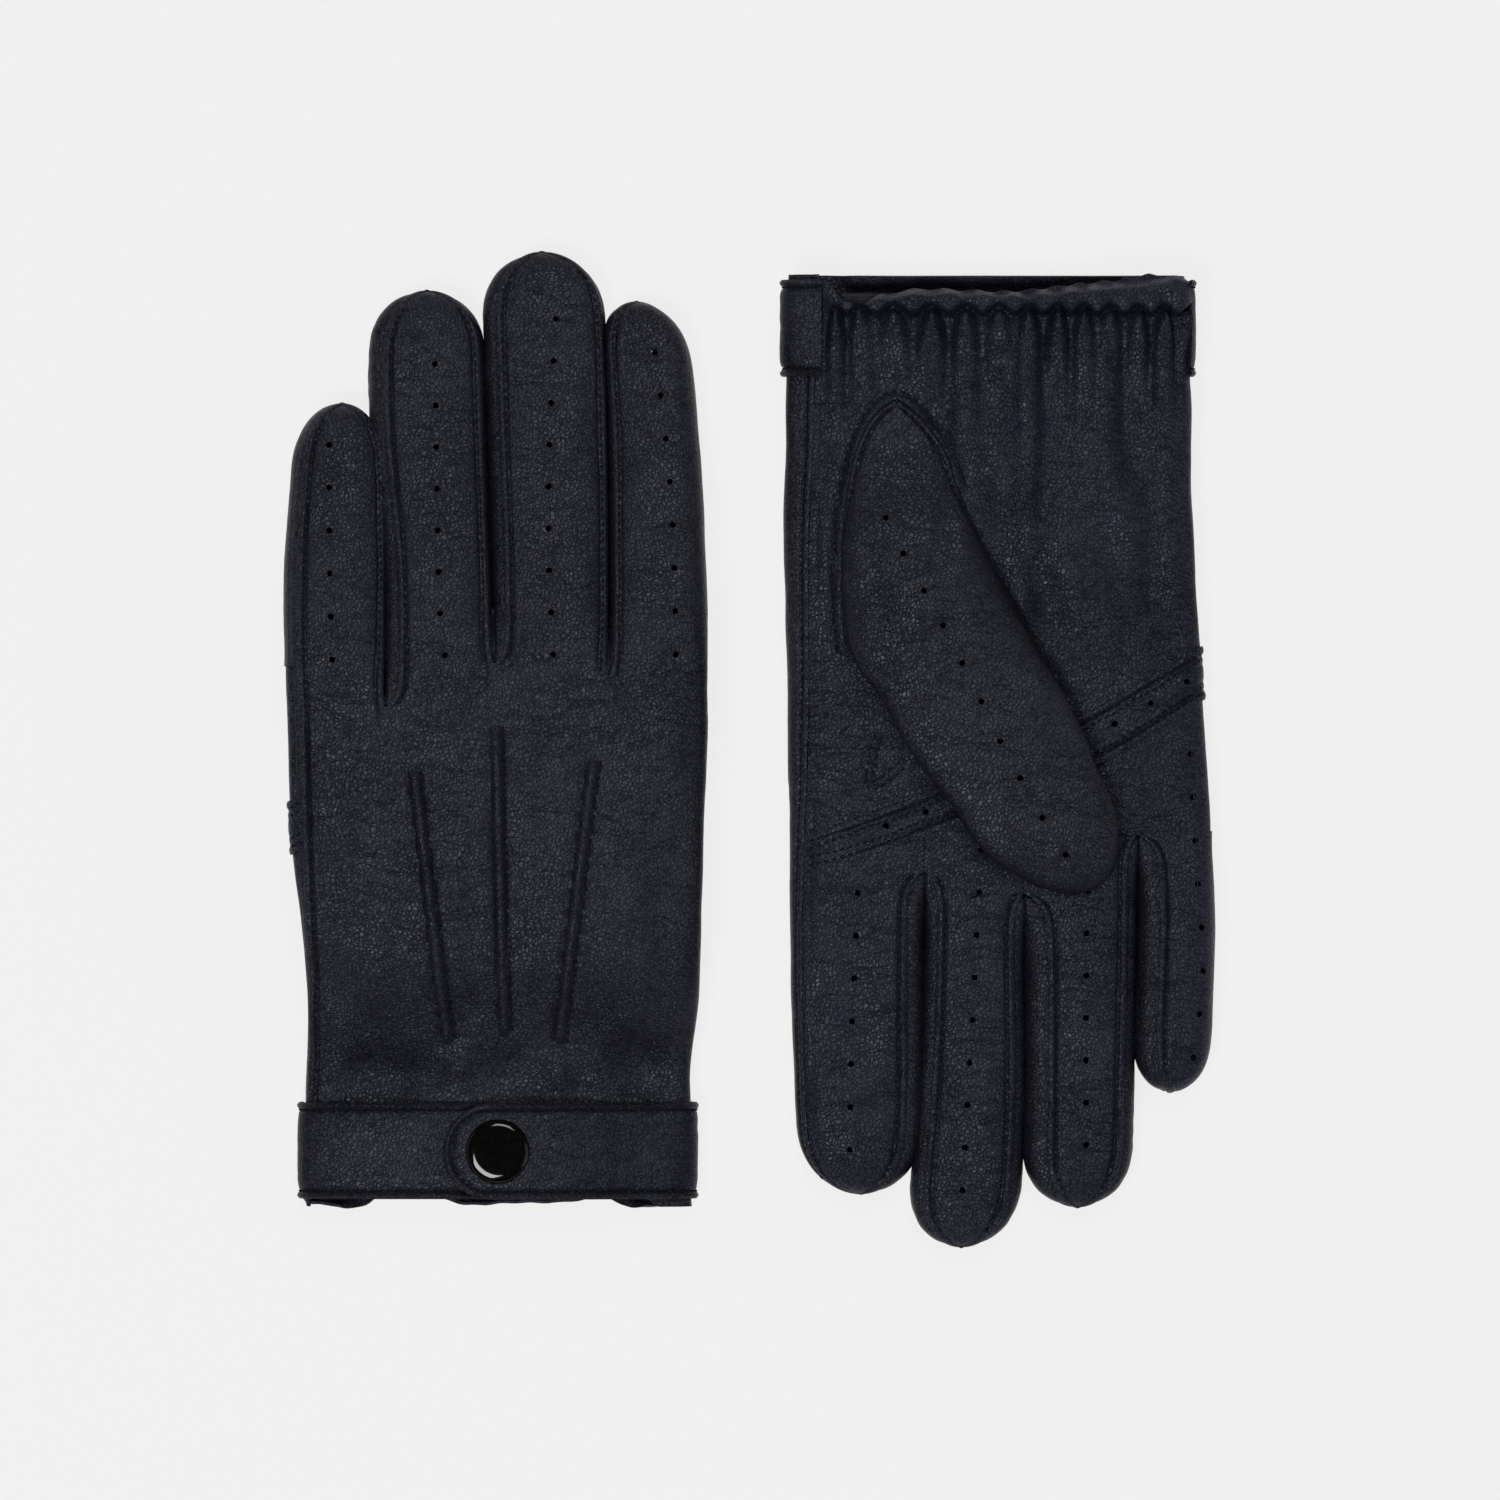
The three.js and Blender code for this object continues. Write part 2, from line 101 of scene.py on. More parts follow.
def bump(x, centre, width):
    return np.exp(-(((np.asarray(x, float) - centre) / width) ** 2))


def curve(*points):
    """A smooth curve through (place, value) points, constant before the first and after the last."""
    at = np.array([p[0] for p in points], float)
    value = np.array([p[1] for p in points], float)
    slope = np.gradient(value, at)

    def evaluate(v):
        v = np.clip(np.asarray(v, float), at[0], at[-1])
        i = np.clip(np.searchsorted(at, v) - 1, 0, len(at) - 2)
        h = at[i + 1] - at[i]
        t = (v - at[i]) / h
        return (
            value[i] * (1 + 2 * t) * (1 - t) ** 2
            + value[i + 1] * t * t * (3 - 2 * t)
            + h * slope[i] * t * (1 - t) ** 2
            + h * slope[i + 1] * t * t * (t - 1)
        )

    return evaluate


# How far in from the index finger's edge, on the palm, the back's panel ends
index_seam = curve(
    (-4, 7.0), (19, 6.4), (53, 5.7), (95, 4.6), (114, 4.0), (127, 3.3), (179, 2.3), (215, 2.0),
)
# How far in from the little finger's edge, on the back, the palm's leather reaches
little_seam = curve((-4, 0.8), (40, 0.8), (60, 1.3), (80, 2.5), (114, 3.0), (180, 2.7), (215, 2.4))


def arc_of(points):
    """The length along a line of points, up to each of them."""
    return np.concatenate([[0], np.cumsum(np.linalg.norm(np.diff(points, axis=0), axis=1))])


def at_arc(points, arc, where):
    """Points of a line at given lengths along it."""
    return np.stack([np.interp(where, arc, points[:, k]) for k in range(points.shape[1])], axis=1)


def power(value, exponent):
    return np.sign(value) * np.abs(value) ** exponent


class Ripples:
    """Smooth random relief with a height of about 1: waves of about one length in seeded directions."""

    def __init__(self, seed, length, waves=14, stretch=1.0):
        random = np.random.default_rng(seed)
        angle = random.uniform(0, 2 * math.pi, waves)
        size = 2 * math.pi / (length * random.uniform(0.7, 1.5, waves))
        self.ku = np.cos(angle) * size
        self.kv = np.sin(angle) * size / stretch
        self.phase = random.uniform(0, 2 * math.pi, waves)
        self.scale = math.sqrt(2.0 / waves)

    def __call__(self, u, v):
        waves = zip(self.ku, self.kv, self.phase)
        return self.scale * sum(np.sin(a * u + b * v + c) for a, b, c in waves)


def distance_to(u, v, start, end):
    """Signed distance across a line, and how far along it a place lies, both in millimetres."""
    du, dv = end[0] - start[0], end[1] - start[1]
    length = math.hypot(du, dv)
    along = ((u - start[0]) * du + (v - start[1]) * dv) / length
    across = ((u - start[0]) * dv - (v - start[1]) * du) / length
    return across, along, length


def folds(u, v, lines):
    """Soft valleys and ridges (depth below 0) along lines of (start, end, width, depth)."""
    height = 0
    for start, end, width, depth in lines:
        across, along, length = distance_to(u, v, start, end)
        taper = smooth(along, -width, width) * (1 - smooth(along, length - width, length + width))
        height = height - FOLD_DEPTH * depth * taper * bump(across, 0, width)
    return height


# ---- Meshes ----


def normals_of(points):
    """Unit normals of a grid of points, on the side that its first index's right hand gives."""
    along = np.gradient(points, axis=0)
    across = np.gradient(points, axis=1)
    normal = np.cross(across, along)
    length = np.linalg.norm(normal, axis=-1, keepdims=True)
    return normal / np.maximum(length, 1e-9)


def grid_faces(rows, columns, dropped=()):
    """Quads of a grid, without the four round each dropped (row, column)."""
    index = np.arange(rows * columns).reshape(rows, columns)
    keep = np.ones((rows - 1, columns - 1), bool)
    for i, j in dropped:
        keep[i - 1 : i + 1, j - 1 : j + 1] = False
    quads = np.stack([index[:-1, :-1], index[:-1, 1:], index[1:, 1:], index[1:, :-1]], axis=-1)
    return quads[keep]


def solid_sheet(outer, normals, faces, thickness):
    """Vertices and faces of a sheet of leather: its outer face, its inner face and the cut edges between."""
    used, faces = np.unique(faces, return_inverse=True)
    faces = faces.reshape(-1, 4)
    top = outer.reshape(-1, 3)[used]
    low = top - normals.reshape(-1, 3)[used] * thickness
    count = len(used)
    edges = np.concatenate([faces[:, [k, (k + 1) % 4]] for k in range(4)])
    keys = np.sort(edges, axis=1) @ np.array([count, 1])
    _, first, times = np.unique(keys, return_index=True, return_counts=True)
    rim = edges[first[times == 1]]
    walls = np.stack([rim[:, 1], rim[:, 0], rim[:, 0] + count, rim[:, 1] + count], axis=1)
    return np.concatenate([top, low]), np.concatenate([faces, faces[:, ::-1] + count, walls])


def add_object(name, data):
    """A new object in the scene."""
    made = bpy.data.objects.new(name, data)
    bpy.context.scene.collection.objects.link(made)
    return made


def make_object(name, glove, vertices, faces, material, sharp=50.0):
    """A mesh object from glove-space vertices."""
    if glove.turn < 0:
        faces = np.asarray(faces)[:, ::-1]
    mesh = bpy.data.meshes.new(name)
    placed = glove.world(vertices)
    placed[:, 2] = np.maximum(placed[:, 2], 0)  # the leather lies flat where it meets the surface
    mesh.from_pydata(placed.tolist(), [], np.asarray(faces).tolist())
    mesh.polygons.foreach_set("use_smooth", np.ones(len(mesh.polygons), bool))
    mesh.set_sharp_from_angle(angle=math.radians(sharp))
    mesh.materials.append(material)
    return add_object(name, mesh)


def punch(points, holes, facing):
    """Moves the grid points round each hole onto its circle, and returns the grid places to drop.

    facing says which grid points lie on the face that the holes are in.
    """
    dropped = []
    for u, v in holes:
        away = np.where(facing, (points[..., 0] - u) ** 2 + (points[..., 1] - v) ** 2, np.inf)
        i, j = np.unravel_index(np.argmin(away), away.shape)
        if not (2 < i < points.shape[0] - 3 and 2 < j < points.shape[1] - 3):
            continue
        height = points[i, j, 2]
        slope_u = (points[i, j + 2] - points[i, j - 2])[[0, 2]]
        slope_v = (points[i + 2, j] - points[i - 2, j])[[1, 2]]
        tilt_u, tilt_v = slope_u[1] / slope_u[0], slope_v[1] / slope_v[0]
        for di in (-1, 0, 1):
            for dj in (-1, 0, 1):
                if di == 0 and dj == 0:
                    continue
                turn = math.atan2(di, dj if slope_u[0] > 0 else -dj)
                du, dv = HOLE_RADIUS * math.cos(turn), HOLE_RADIUS * math.sin(turn)
                points[i + di, j + dj] = (u + du, v + dv, height + du * tilt_u + dv * tilt_v)
        dropped.append((i, j))
    return dropped


def ring_faces(rings, sides):
    """Quads that join each ring of points to the next."""
    index = np.arange(rings * sides).reshape(rings, sides)
    after = np.roll(index, -1, axis=1)
    return np.stack([index[:-1], after[:-1], after[1:], index[1:]], axis=-1).reshape(-1, 4)


def stitch_mesh(centres, directions, normals):
    """Vertices and faces of a row of small thread stitches, each a short rounded bar."""
    sides, rings = 6, 5
    turn = np.linspace(0, 2 * math.pi, sides, endpoint=False)
    place = np.linspace(-1, 1, rings)
    radius = np.sqrt(np.maximum(0.0, 1 - np.abs(place) ** 2.6)) * STITCH_WIDTH / 2 + 0.02
    across = np.cross(directions, normals)
    across /= np.maximum(np.linalg.norm(across, axis=1, keepdims=True), 1e-9)
    ring = (
        centres[:, None, None]
        + directions[:, None, None] * (place * STITCH_LENGTH / 2)[None, :, None, None]
        + across[:, None, None] * (radius[:, None] * np.cos(turn)[None])[None, :, :, None]
        + normals[:, None, None] * (radius[:, None] * np.sin(turn)[None])[None, :, :, None]
    )
    firsts = (np.arange(len(centres)) * rings * sides)[:, None, None]
    faces = (ring_faces(rings, sides)[None] + firsts).reshape(-1, 4)
    return ring.reshape(-1, 3), faces


def stitches_along(path, normals):
    """Evenly spaced stitches along a path of points, each lying on the surface with its own normal."""
    arc = arc_of(path)
    count = max(2, int(arc[-1] / STITCH_PITCH))
    at = (np.arange(count) + 0.5) * arc[-1] / count
    up = at_arc(normals, arc, at)
    up /= np.maximum(np.linalg.norm(up, axis=1, keepdims=True), 1e-9)
    direction = at_arc(path, arc, at + 0.4) - at_arc(path, arc, at - 0.4)
    direction /= np.maximum(np.linalg.norm(direction, axis=1, keepdims=True), 1e-9)
    return stitch_mesh(at_arc(path, arc, at) + up * STITCH_RISE, direction, up)


def joined(parts):
    """Several (vertices, faces) as one."""
    vertices, faces, count = [], [], 0
    for v, f in parts:
        vertices.append(v)
        faces.append(np.asarray(f) + count)
        count += len(v)
    return np.concatenate(vertices), np.concatenate(faces)


# ---- Materials ----


class Paint:
    """A material being made, and the ways to add to it."""

    def __init__(self, name):
        self.material = bpy.data.materials.new(name)
        self.material.use_nodes = True
        self.nodes = self.material.node_tree.nodes
        self.links = self.material.node_tree.links
        self.shader = self.nodes["Principled BSDF"]
        self.place = self.nodes.new("ShaderNodeTexCoord").outputs["Object"]

    def feed(self, socket, value):
        """Gives a socket a plain value, or another node's output."""
        if isinstance(value, bpy.types.NodeSocket):
            self.links.new(value, socket)
        else:
            socket.default_value = value

    def node(self, kind, **inputs):
        made = self.nodes.new("ShaderNode" + kind)
        for name, value in inputs.items():
            self.feed(made.inputs[name], value)
        return made

    def noise(self, scale, detail, roughness=0.55, distortion=0.0, place=None):
        place = self.place if place is None else place
        settings = {"Scale": scale, "Detail": detail, "Roughness": roughness, "Distortion": distortion}
        return self.node("TexNoise", Vector=place, **settings).outputs["Fac"]

    def math(self, operation, first, second=0.0):
        made = self.nodes.new("ShaderNodeMath")
        made.operation = operation
        self.feed(made.inputs[0], first)
        self.feed(made.inputs[1], second)
        return made.outputs[0]

    def scaled(self, value, by, plus=0.0):
        return self.math("ADD", self.math("MULTIPLY", value, by), plus)

    def total(self, *parts):
        """The sum of (value, weight) parts."""
        height = 0.0
        for value, weight in parts:
            height = self.scaled(value, weight, height)
        return height

    def capped(self, value, most):
        """A value as a share of its most, from 0 to 1."""
        return self.math("DIVIDE", self.math("MINIMUM", value, most), most)

    def lines(self, noise, level, width):
        """Thin wandering creases: 0 where a noise has one level, and 1 beyond the width."""
        return self.capped(self.math("ABSOLUTE", self.math("SUBTRACT", noise, level)), width)

    def colour(self, factor, dark, light, low, high):
        """A colour that goes from dark to light as the factor goes from low to high."""
        ramp = self.node("ValToRGB", Fac=factor)
        for stop, place, colour in zip(ramp.color_ramp.elements, (low, high), (dark, light)):
            stop.position = place
            stop.color = (*colour, 1)
        return ramp.outputs["Color"]

    def relief(self, height, depth, strength=1.0):
        """Bumps the surface by a height from 0 to 1, with a depth in millimetres."""
        bumped = self.node("Bump", Height=height, Distance=depth * MM, Strength=strength)
        self.feed(self.shader.inputs["Normal"], bumped.outputs["Normal"])

    def finish(self, inputs):
        for name, value in inputs.items():
            self.feed(self.shader.inputs[name], value)
        return self.material


def pebble_cells(paint):
    """Distance from the nearest crease between the grain's pebbles, from 0 in a crease to 1 on a pebble."""
    warp = paint.node("TexNoise", Vector=paint.place, Scale=700, Detail=2, Roughness=0.55)
    moved = paint.node("MixRGB", Fac=0.0005, Color1=paint.place, Color2=warp.outputs["Color"])
    moved.blend_type = "LINEAR_LIGHT"
    pebbles = paint.nodes.new("ShaderNodeTexVoronoi")
    pebbles.feature = "DISTANCE_TO_EDGE"
    paint.feed(pebbles.inputs["Scale"], PEBBLE_SCALE)
    paint.feed(pebbles.inputs["Vector"], moved.outputs["Color"])
    return paint.capped(pebbles.outputs["Distance"], 0.22)


def leather_material(name, dark, light, grain=0.30, shine=0.46):
    """Fine-grained glove leather: pebbled grain, pores, faint creases, mottled dye and uneven gloss; painted
    shade darkens the colour and the specular in the creases between the pebbles and along the strains.
    """
    paint = Paint(name)
    cell = pebble_cells(paint)
    pores = paint.noise(2400, 2)
    creases = paint.lines(paint.noise(330, 5, 0.6, 0.8), 0.5, 0.05)
    stretch = paint.nodes.new("ShaderNodeVectorMath")
    stretch.operation = "MULTIPLY"
    paint.feed(stretch.inputs[0], paint.place)
    paint.feed(stretch.inputs[1], (0.38, 1.0, 1.0))
    strains = paint.lines(paint.noise(200, 4, 0.6, 1.2, stretch.outputs["Vector"]), 0.52, 0.022)
    paint.relief(paint.total((cell, 0.27), (pores, 0.12), (creases, 0.12), (strains, 0.24)), grain)
    # Painted shade: darker colour and less specular in the grain's creases and strain lines, for the shade
    # that falls in them
    painted_crease_shade = paint.math("MULTIPLY", cell, paint.scaled(strains, 0.5, 0.5))
    dye_mottle_and_crease_shade = paint.scaled(painted_crease_shade, 0.34, paint.noise(45, 4))
    return paint.finish({
        "Base Color": paint.colour(dye_mottle_and_crease_shade, dark, light, 0.4, 0.85),
        "Roughness": paint.scaled(paint.noise(120, 3), 0.14, 0.33),
        "Specular IOR Level": paint.scaled(painted_crease_shade, shine * 0.6, shine * 0.4),
        "Specular Tint": (0.84, 0.88, 1.0, 1),
    })


def thread_material():
    paint = Paint("thread")
    fibres = paint.noise(3200, 3)
    paint.relief(fibres, 0.08, 0.6)
    return paint.finish({
        "Base Color": paint.colour(fibres, (0.003, 0.0035, 0.006), (0.010, 0.011, 0.017), 0.3, 0.7),
        "Roughness": 0.7,
        "Specular IOR Level": 0.10,
    })


def enamel_material():
    """Gloss black enamel with the faintest orange peel and dust."""
    paint = Paint("gloss_enamel")
    paint.relief(paint.noise(420, 2), 0.05, 0.04)
    wear = paint.noise(900, 4)
    return paint.finish({
        "Base Color": paint.colour(wear, (0.001, 0.001, 0.001), (0.004, 0.004, 0.0035), 0.3, 0.8),
        "Roughness": paint.scaled(wear, 0.06, 0.04),
        "Specular IOR Level": 0.35,
        "Coat Weight": 0.3,
        "Coat Roughness": 0.03,
    })


def metal_material():
    paint = Paint("blackened_brass")
    patina = paint.noise(700, 5)
    return paint.finish({
        "Base Color": paint.colour(patina, (0.03, 0.028, 0.026), (0.14, 0.12, 0.09), 0.35, 0.75),
        "Metallic": 1.0,
        "Roughness": paint.scaled(patina, 0.3, 0.2),
    })


def elastic_material():
    """Woven elastic: narrow ribs along its length, crossed by the weave."""
    paint = Paint("woven_elastic")
    weave = paint.node("TexWave", Vector=paint.place, Scale=320, Distortion=0.4)
    weave.bands_direction = "Y"
    ribs = weave.outputs["Fac"]
    paint.relief(ribs, 0.2)
    return paint.finish({
        "Base Color": paint.colour(ribs, (0.006, 0.006, 0.009), (0.02, 0.02, 0.026), 0.2, 0.8),
        "Roughness": 0.85,
    })


def floor_material():
    """Matt paper with an even glow of its own, so that it shows no hard shadow."""
    return Paint("floor_paper").finish({
        "Base Color": (0.10, 0.10, 0.10, 1),
        "Roughness": 0.9,
        "Specular IOR Level": 0.1,
        "Emission Color": (1, 1, 1, 1),
        "Emission Strength": FLOOR_GLOW,
    })


FLOOR_GLOW = 0.805
BACK_LEATHER = leather_material("back_leather", (0.0046, 0.0050, 0.0088), (0.0136, 0.0143, 0.0220))
PALM_LEATHER = leather_material(
    "palm_leather", (0.0040, 0.0044, 0.0100), (0.0124, 0.0132, 0.0250), grain=0.33
)
# The fourchettes' leather is the back's leather painted darker: painted shade of the narrow sides between the
# fingers
SHADED_FOURCHETTE_LEATHER = leather_material("fourchette_leather", (0.0032, 0.0035, 0.0064), (0.0090, 0.0096, 0.0150))
STRAP_LEATHER = leather_material(
    "strap_leather", (0.0038, 0.0041, 0.0074), (0.0108, 0.0114, 0.0176), grain=0.22, shine=0.38
)
THREAD = thread_material()
ENAMEL = enamel_material()
METAL = metal_material()
ELASTIC = elastic_material()


# ---- The two gloves ----


class Glove:
    """One glove's outline and heights in glove space, and its place in the frame."""

    def __init__(self, side, turn, cap_at, left_edge, right_edge, hem, fingers):
        self.side = side
        self.turn = turn
        low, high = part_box(f"{side}_snap_cap")
        centre = (np.array(low) + np.array(high)) / 2 / MM * turn
        self.x0, self.y0 = centre[0] - cap_at[0], centre[1] - cap_at[1]
        self.cap_at = cap_at
        self.left_edge, self.right_edge = left_edge, right_edge
        self.hem = hem
        self.fingers = {finger.name: finger for finger in fingers}

    def world(self, points):
        """Points of glove space in the frame, in metres."""
        moved = np.asarray(points, float) + np.array([self.x0, self.y0, 0])
        return moved * self.turn * MM

    def thickness(self, v):
        """From the palm to the back: less at the cuff and towards the fingertips."""
        y = np.asarray(v, float) + self.y0
        return 10 + 3 * smooth(y, -80, -50) - 1.5 * smooth(y, 20, 110)

    def palm(self, v):
        """Height of the palm. The left glove lies on its thumb, and the right glove on its snap."""
        y = np.asarray(v, float) + self.y0
        if self.turn > 0:
            return 0.52 + self.thumb_lift(v)
        snap_lift = 0.52 + 6.08 * (1 - smooth(y, -80, -10))
        return -snap_lift - self.thickness(v)

    def back(self, v):
        return self.palm(v) + self.thickness(v)

    def thumb_lift(self, v):
        y = np.asarray(v, float) + self.y0
        return 9.6 * smooth(y, -80, -35) * (1 - smooth(y, 15, 95))

    def hand_size(self, v):
        """Centre and half width across the hand, then middle and half height."""
        skin = SKIN * smooth(v, 22, 40)
        left, right = self.left_edge(v) + skin, self.right_edge(v) - skin
        low, high = self.palm(v), self.back(v)
        return (left + right) / 2, (right - left) / 2, (low + high) / 2, (high - low) / 2

    def hand_point(self, turn, v):
        """The hand's wall at a turn in degrees: 0 at the index edge, 90 on the back, 270 on the palm."""
        centre, half, middle, deep = self.hand_size(v)
        angle = np.radians(turn)
        u = centre + half * power(np.cos(angle), SQUARE)
        z = middle + deep * power(np.sin(angle), SQUARE)
        return np.stack(np.broadcast_arrays(u, v, z), axis=-1)

    def hand_height(self, u, v, face):
        """Height of the hand's back (face 1) or palm (face -1) at a place."""
        centre, half, middle, deep = self.hand_size(v)
        share = np.clip(np.abs(u - centre) / half, 0, 1)
        return middle + face * deep * (1 - share ** (2 / SQUARE)) ** (SQUARE / 2)

    def seam_turns(self, v):
        """The turns at which the back panel's two outer seams run."""
        half = self.hand_size(v)[1]
        first = np.degrees(np.arccos((1 - index_seam(v) / half) ** (1 / SQUARE)))
        last = np.degrees(np.arccos((1 - little_seam(v) / half) ** (1 / SQUARE)))
        return -first, 180 - last

    def turn_at(self, u, v, face):
        """The turn at which the hand's wall has the given u, on the back (1) or palm (-1) face."""
        centre, half, _, _ = self.hand_size(v)
        share = np.clip((u - centre) / half, -1, 1)
        turn = np.degrees(np.arccos(power(share, 1 / SQUARE)))
        return turn if face > 0 else 360 - turn


def tip_rows(start, end, tip_length, count):
    """Places along a finger or thumb, closer together round its tip."""
    bend = end - tip_length
    straight = np.linspace(start, bend, int((bend - start) / GRID) + 1)
    return np.concatenate([straight, bend + tip_length * np.sin(np.linspace(0, TIP_TURN, count)[1:])])


# v of the crotch on either side of each finger, the little finger's side first: on the back, and on the palm
CROTCHES = {
    "little": ((None, 116.1), (None, 126.9)),
    "ring": ((116.1, 126.3), (126.9, 140.5)),
    "middle": ((126.3, 123.3), (140.5, 135.4)),
    "index": ((123.3, None), (135.4, None)),
}


class Finger:
    """One finger: its side lines, its rounded tip, and how far in its seams run on each face."""

    def __init__(self, name, left, right, tip, tip_length, back_seams, palm_seams):
        self.name = name
        self.left, self.right = left, right
        self.tip = tip - SKIN
        self.tip_length = tip_length
        self.crotch_back, self.crotch_palm = CROTCHES[name]
        self.seams = (back_seams, palm_seams)  # inset from (left, right)
        self.outer = {"little": "left", "index": "right"}.get(name)  # the side with no fourchette

    def cap(self, v):
        past = np.clip((np.asarray(v, float) - (self.tip - self.tip_length)) / self.tip_length, 0, 1)
        return np.sqrt(np.maximum(1 - past**2.4, 0.0004))

    def edges(self, v):
        """Centre and half width at the tip's rounding, and the full half width."""
        left, right = self.left(v), self.right(v)
        if self.outer == "left":
            left = left + SKIN
        else:
            left = left + FINGER_GAP * smooth(v, self.crotch_palm[0], self.crotch_palm[0] + 12)
        if self.outer == "right":
            right = right - SKIN
        else:
            right = right - FINGER_GAP * smooth(v, self.crotch_palm[1], self.crotch_palm[1] + 12)
        centre, half = (left + right) / 2, (right - left) / 2
        return centre, half * self.cap(v), half

    def rows(self, start):
        """Values of v from start to the tip, closer together round the tip."""
        return tip_rows(start, self.tip, self.tip_length, 26)


class Hem:
    """How a glove's cuff ends on the back, and round the elastic on the palm."""

    def __init__(self, back, corner, dip, palm, scallop, gather_up, gather):
        self.back = back  # v of the back's hem
        self.corner = corner  # how much lower it hangs at the index finger's side
        self.dip = dip  # how far it sinks in elsewhere
        self.palm = palm  # v of the palm's hem across the hand
        self.scallop = scallop
        self.gather_up = gather_up  # how far the gathers lie up the hand
        self.gather = gather  # and how strong they are


def left_glove():
    little_side = curve(
        (-4, -44.6), (30, -44.4), (58, -45.1), (86, -47.9), (114, -48.8),
        (135, -49.5), (156, -49.1), (170, -48.1), (190, -46.2),
    )
    index_side = curve(
        (-4, 45.4), (30, 45.1), (44, 46.8), (58, 47.7), (86, 48.6),
        (135, 49.5), (156, 48.8), (184, 47.0), (213, 43.0),
    )
    palm_hem = curve(
        (-47, 0.6), (-43, 0.0), (-35, 0.4), (-30, 3.4), (-18, 3.4), (-13, 1.4),
        (5, 0.9), (22, 1.5), (28, 2.6), (33, 0.4), (42, 0.1), (47, 0.8),
    )
    little_ring = curve((110, -25.6), (167, -25.6), (190, -26.4))
    ring_left = curve((110, -25.6), (150, -26.4), (185, -29.6), (214, -29.4))
    ring_middle = curve((110, 0.1), (150, -0.9), (182, -2.2), (225, -3.6))
    middle_index = curve((110, 26.2), (150, 26.4), (190, 25.4), (200, 24.6), (212, 21.6))
    middle_right = curve((110, 26.2), (150, 26.4), (196, 25.6), (223, 24.4))
    fingers = (
        Finger("little", little_side, little_ring, 187.5, 14, (2.6, 0.6), (2, 2)),
        Finger("ring", ring_left, ring_middle, 213.8, 15, (3.6, 1.1), (2, 2)),
        Finger("middle", ring_middle, middle_right, 222.8, 16, (3.0, 0.7), (2, 2)),
        Finger("index", middle_index, index_side, 211.2, 15, (1.2, 2), (2, 3)),
    )
    hem = Hem(3.0, 2.7, 0.9, palm_hem, 0.1, 2.8, 0.55)
    return Glove("left", 1, (0.5, 13.4), little_side, index_side, hem, fingers)


def right_glove():
    little_side = curve(
        (-4, -42.6), (20, -43.4), (53, -45.2), (74, -46.2), (95, -47.3),
        (130, -49.4), (151, -49.9), (172, -49.2), (190, -47.6),
    )
    index_side = curve(
        (-4, 49.4), (20, 49.8), (53, 51.0), (95, 50.1), (130, 49.7),
        (165, 49.2), (188, 48.3), (212, 46.4),
    )
    palm_hem = curve(
        (-46, -3.4), (-39.9, -3.3), (-31.8, -2.1), (-20.1, -0.9), (-3.9, 0.7), (8, 0.4),
        (19.4, 0.2), (28, 1.4), (36.9, 3.2), (40, 1.5), (43, -1.6), (47, -2.5),
    )
    little_ring = curve((110, -31.5), (150, -31.6), (178, -30.8), (190, -31.2))
    ring_little = curve((110, -31.5), (150, -31.6), (190, -30.7), (214, -30.0))
    ring_middle = curve((110, -5.2), (150, -5.2), (190, -5.4), (225, -3.6))
    ring_right = curve((110, -5.2), (150, -5.2), (190, -5.3), (204, -4.9), (214, -5.0))
    middle_index = curve((110, 18.0), (150, 18.0), (190, 19.6), (223, 22.6))
    index_left = curve((110, 18.0), (150, 18.0), (190, 18.2), (212, 19.0))
    fingers = (
        Finger("little", little_side, little_ring, 187.0, 11, (2.6, 2), (2, 5.0)),
        Finger("ring", ring_little, ring_right, 213.8, 15, (2, 2), (2.6, 5.4)),
        Finger("middle", ring_middle, middle_index, 223.1, 16, (2, 2), (2.6, 3.0)),
        Finger("index", index_left, index_side, 210.7, 16, (2, 2), (4.2, 3)),
    )
    hem = Hem(-3.3, 0.0, 2.6, palm_hem, 0.3, 0.0, 1.0)
    return Glove("right", -1, (0.1, 9.1), little_side, index_side, hem, fingers)


# ---- Relief of the leather ----

PINTUCKS = (((-18.8, 102.1), (-11.0, 38.8)), ((0.2, 112.3), (2.1, 40.9)), ((22.8, 104.7), (14.7, 38.4)))
TUCK_STITCH = 1.7  # from a pintuck's crest to its stitches

GATHER_RISE = 1.9  # how far the gathered leather stands off the elastic inside it
PLEATS = (45.0, 38.5, 33.5, 25.3, 16.4, 8.6, 0.7, -6.0, -12.8, -18.8, -24.9, -31.3, -37.3, -43.0)

broad = Ripples(3, 30)
medium = Ripples(5, 11)
small = Ripples(8, 4.2)
tiny = Ripples(13, 2.2)
lengthwise = Ripples(21, 9, stretch=4)


def pintuck_relief(u, v):
    """The three raised tucks, with the grooves that their stitches pull in."""
    height = 0
    for start, end in PINTUCKS:
        across, along, length = distance_to(u, v, start, end)
        share = along / length
        taper = smooth(share, -0.01, 0.025) * (1 - smooth(share, 0.975, 1.01))
        crest = 1.1 * np.exp(-(np.abs((across - 0.1) / 1.15) ** 3))
        pull = 1 + 0.4 * np.cos(2 * math.pi * along / STITCH_PITCH)
        grooves = -0.55 * pull * bump(across, -TUCK_STITCH, 0.45) - 0.45 * bump(across, 1.6, 0.45)
        height = height + taper * (crest + grooves)
    return height


def calm(u):
    """Folds die away towards the glove's outer edges, where the leather is pulled round tight."""
    return 1 - 0.65 * smooth(np.abs(u), 41, 47)


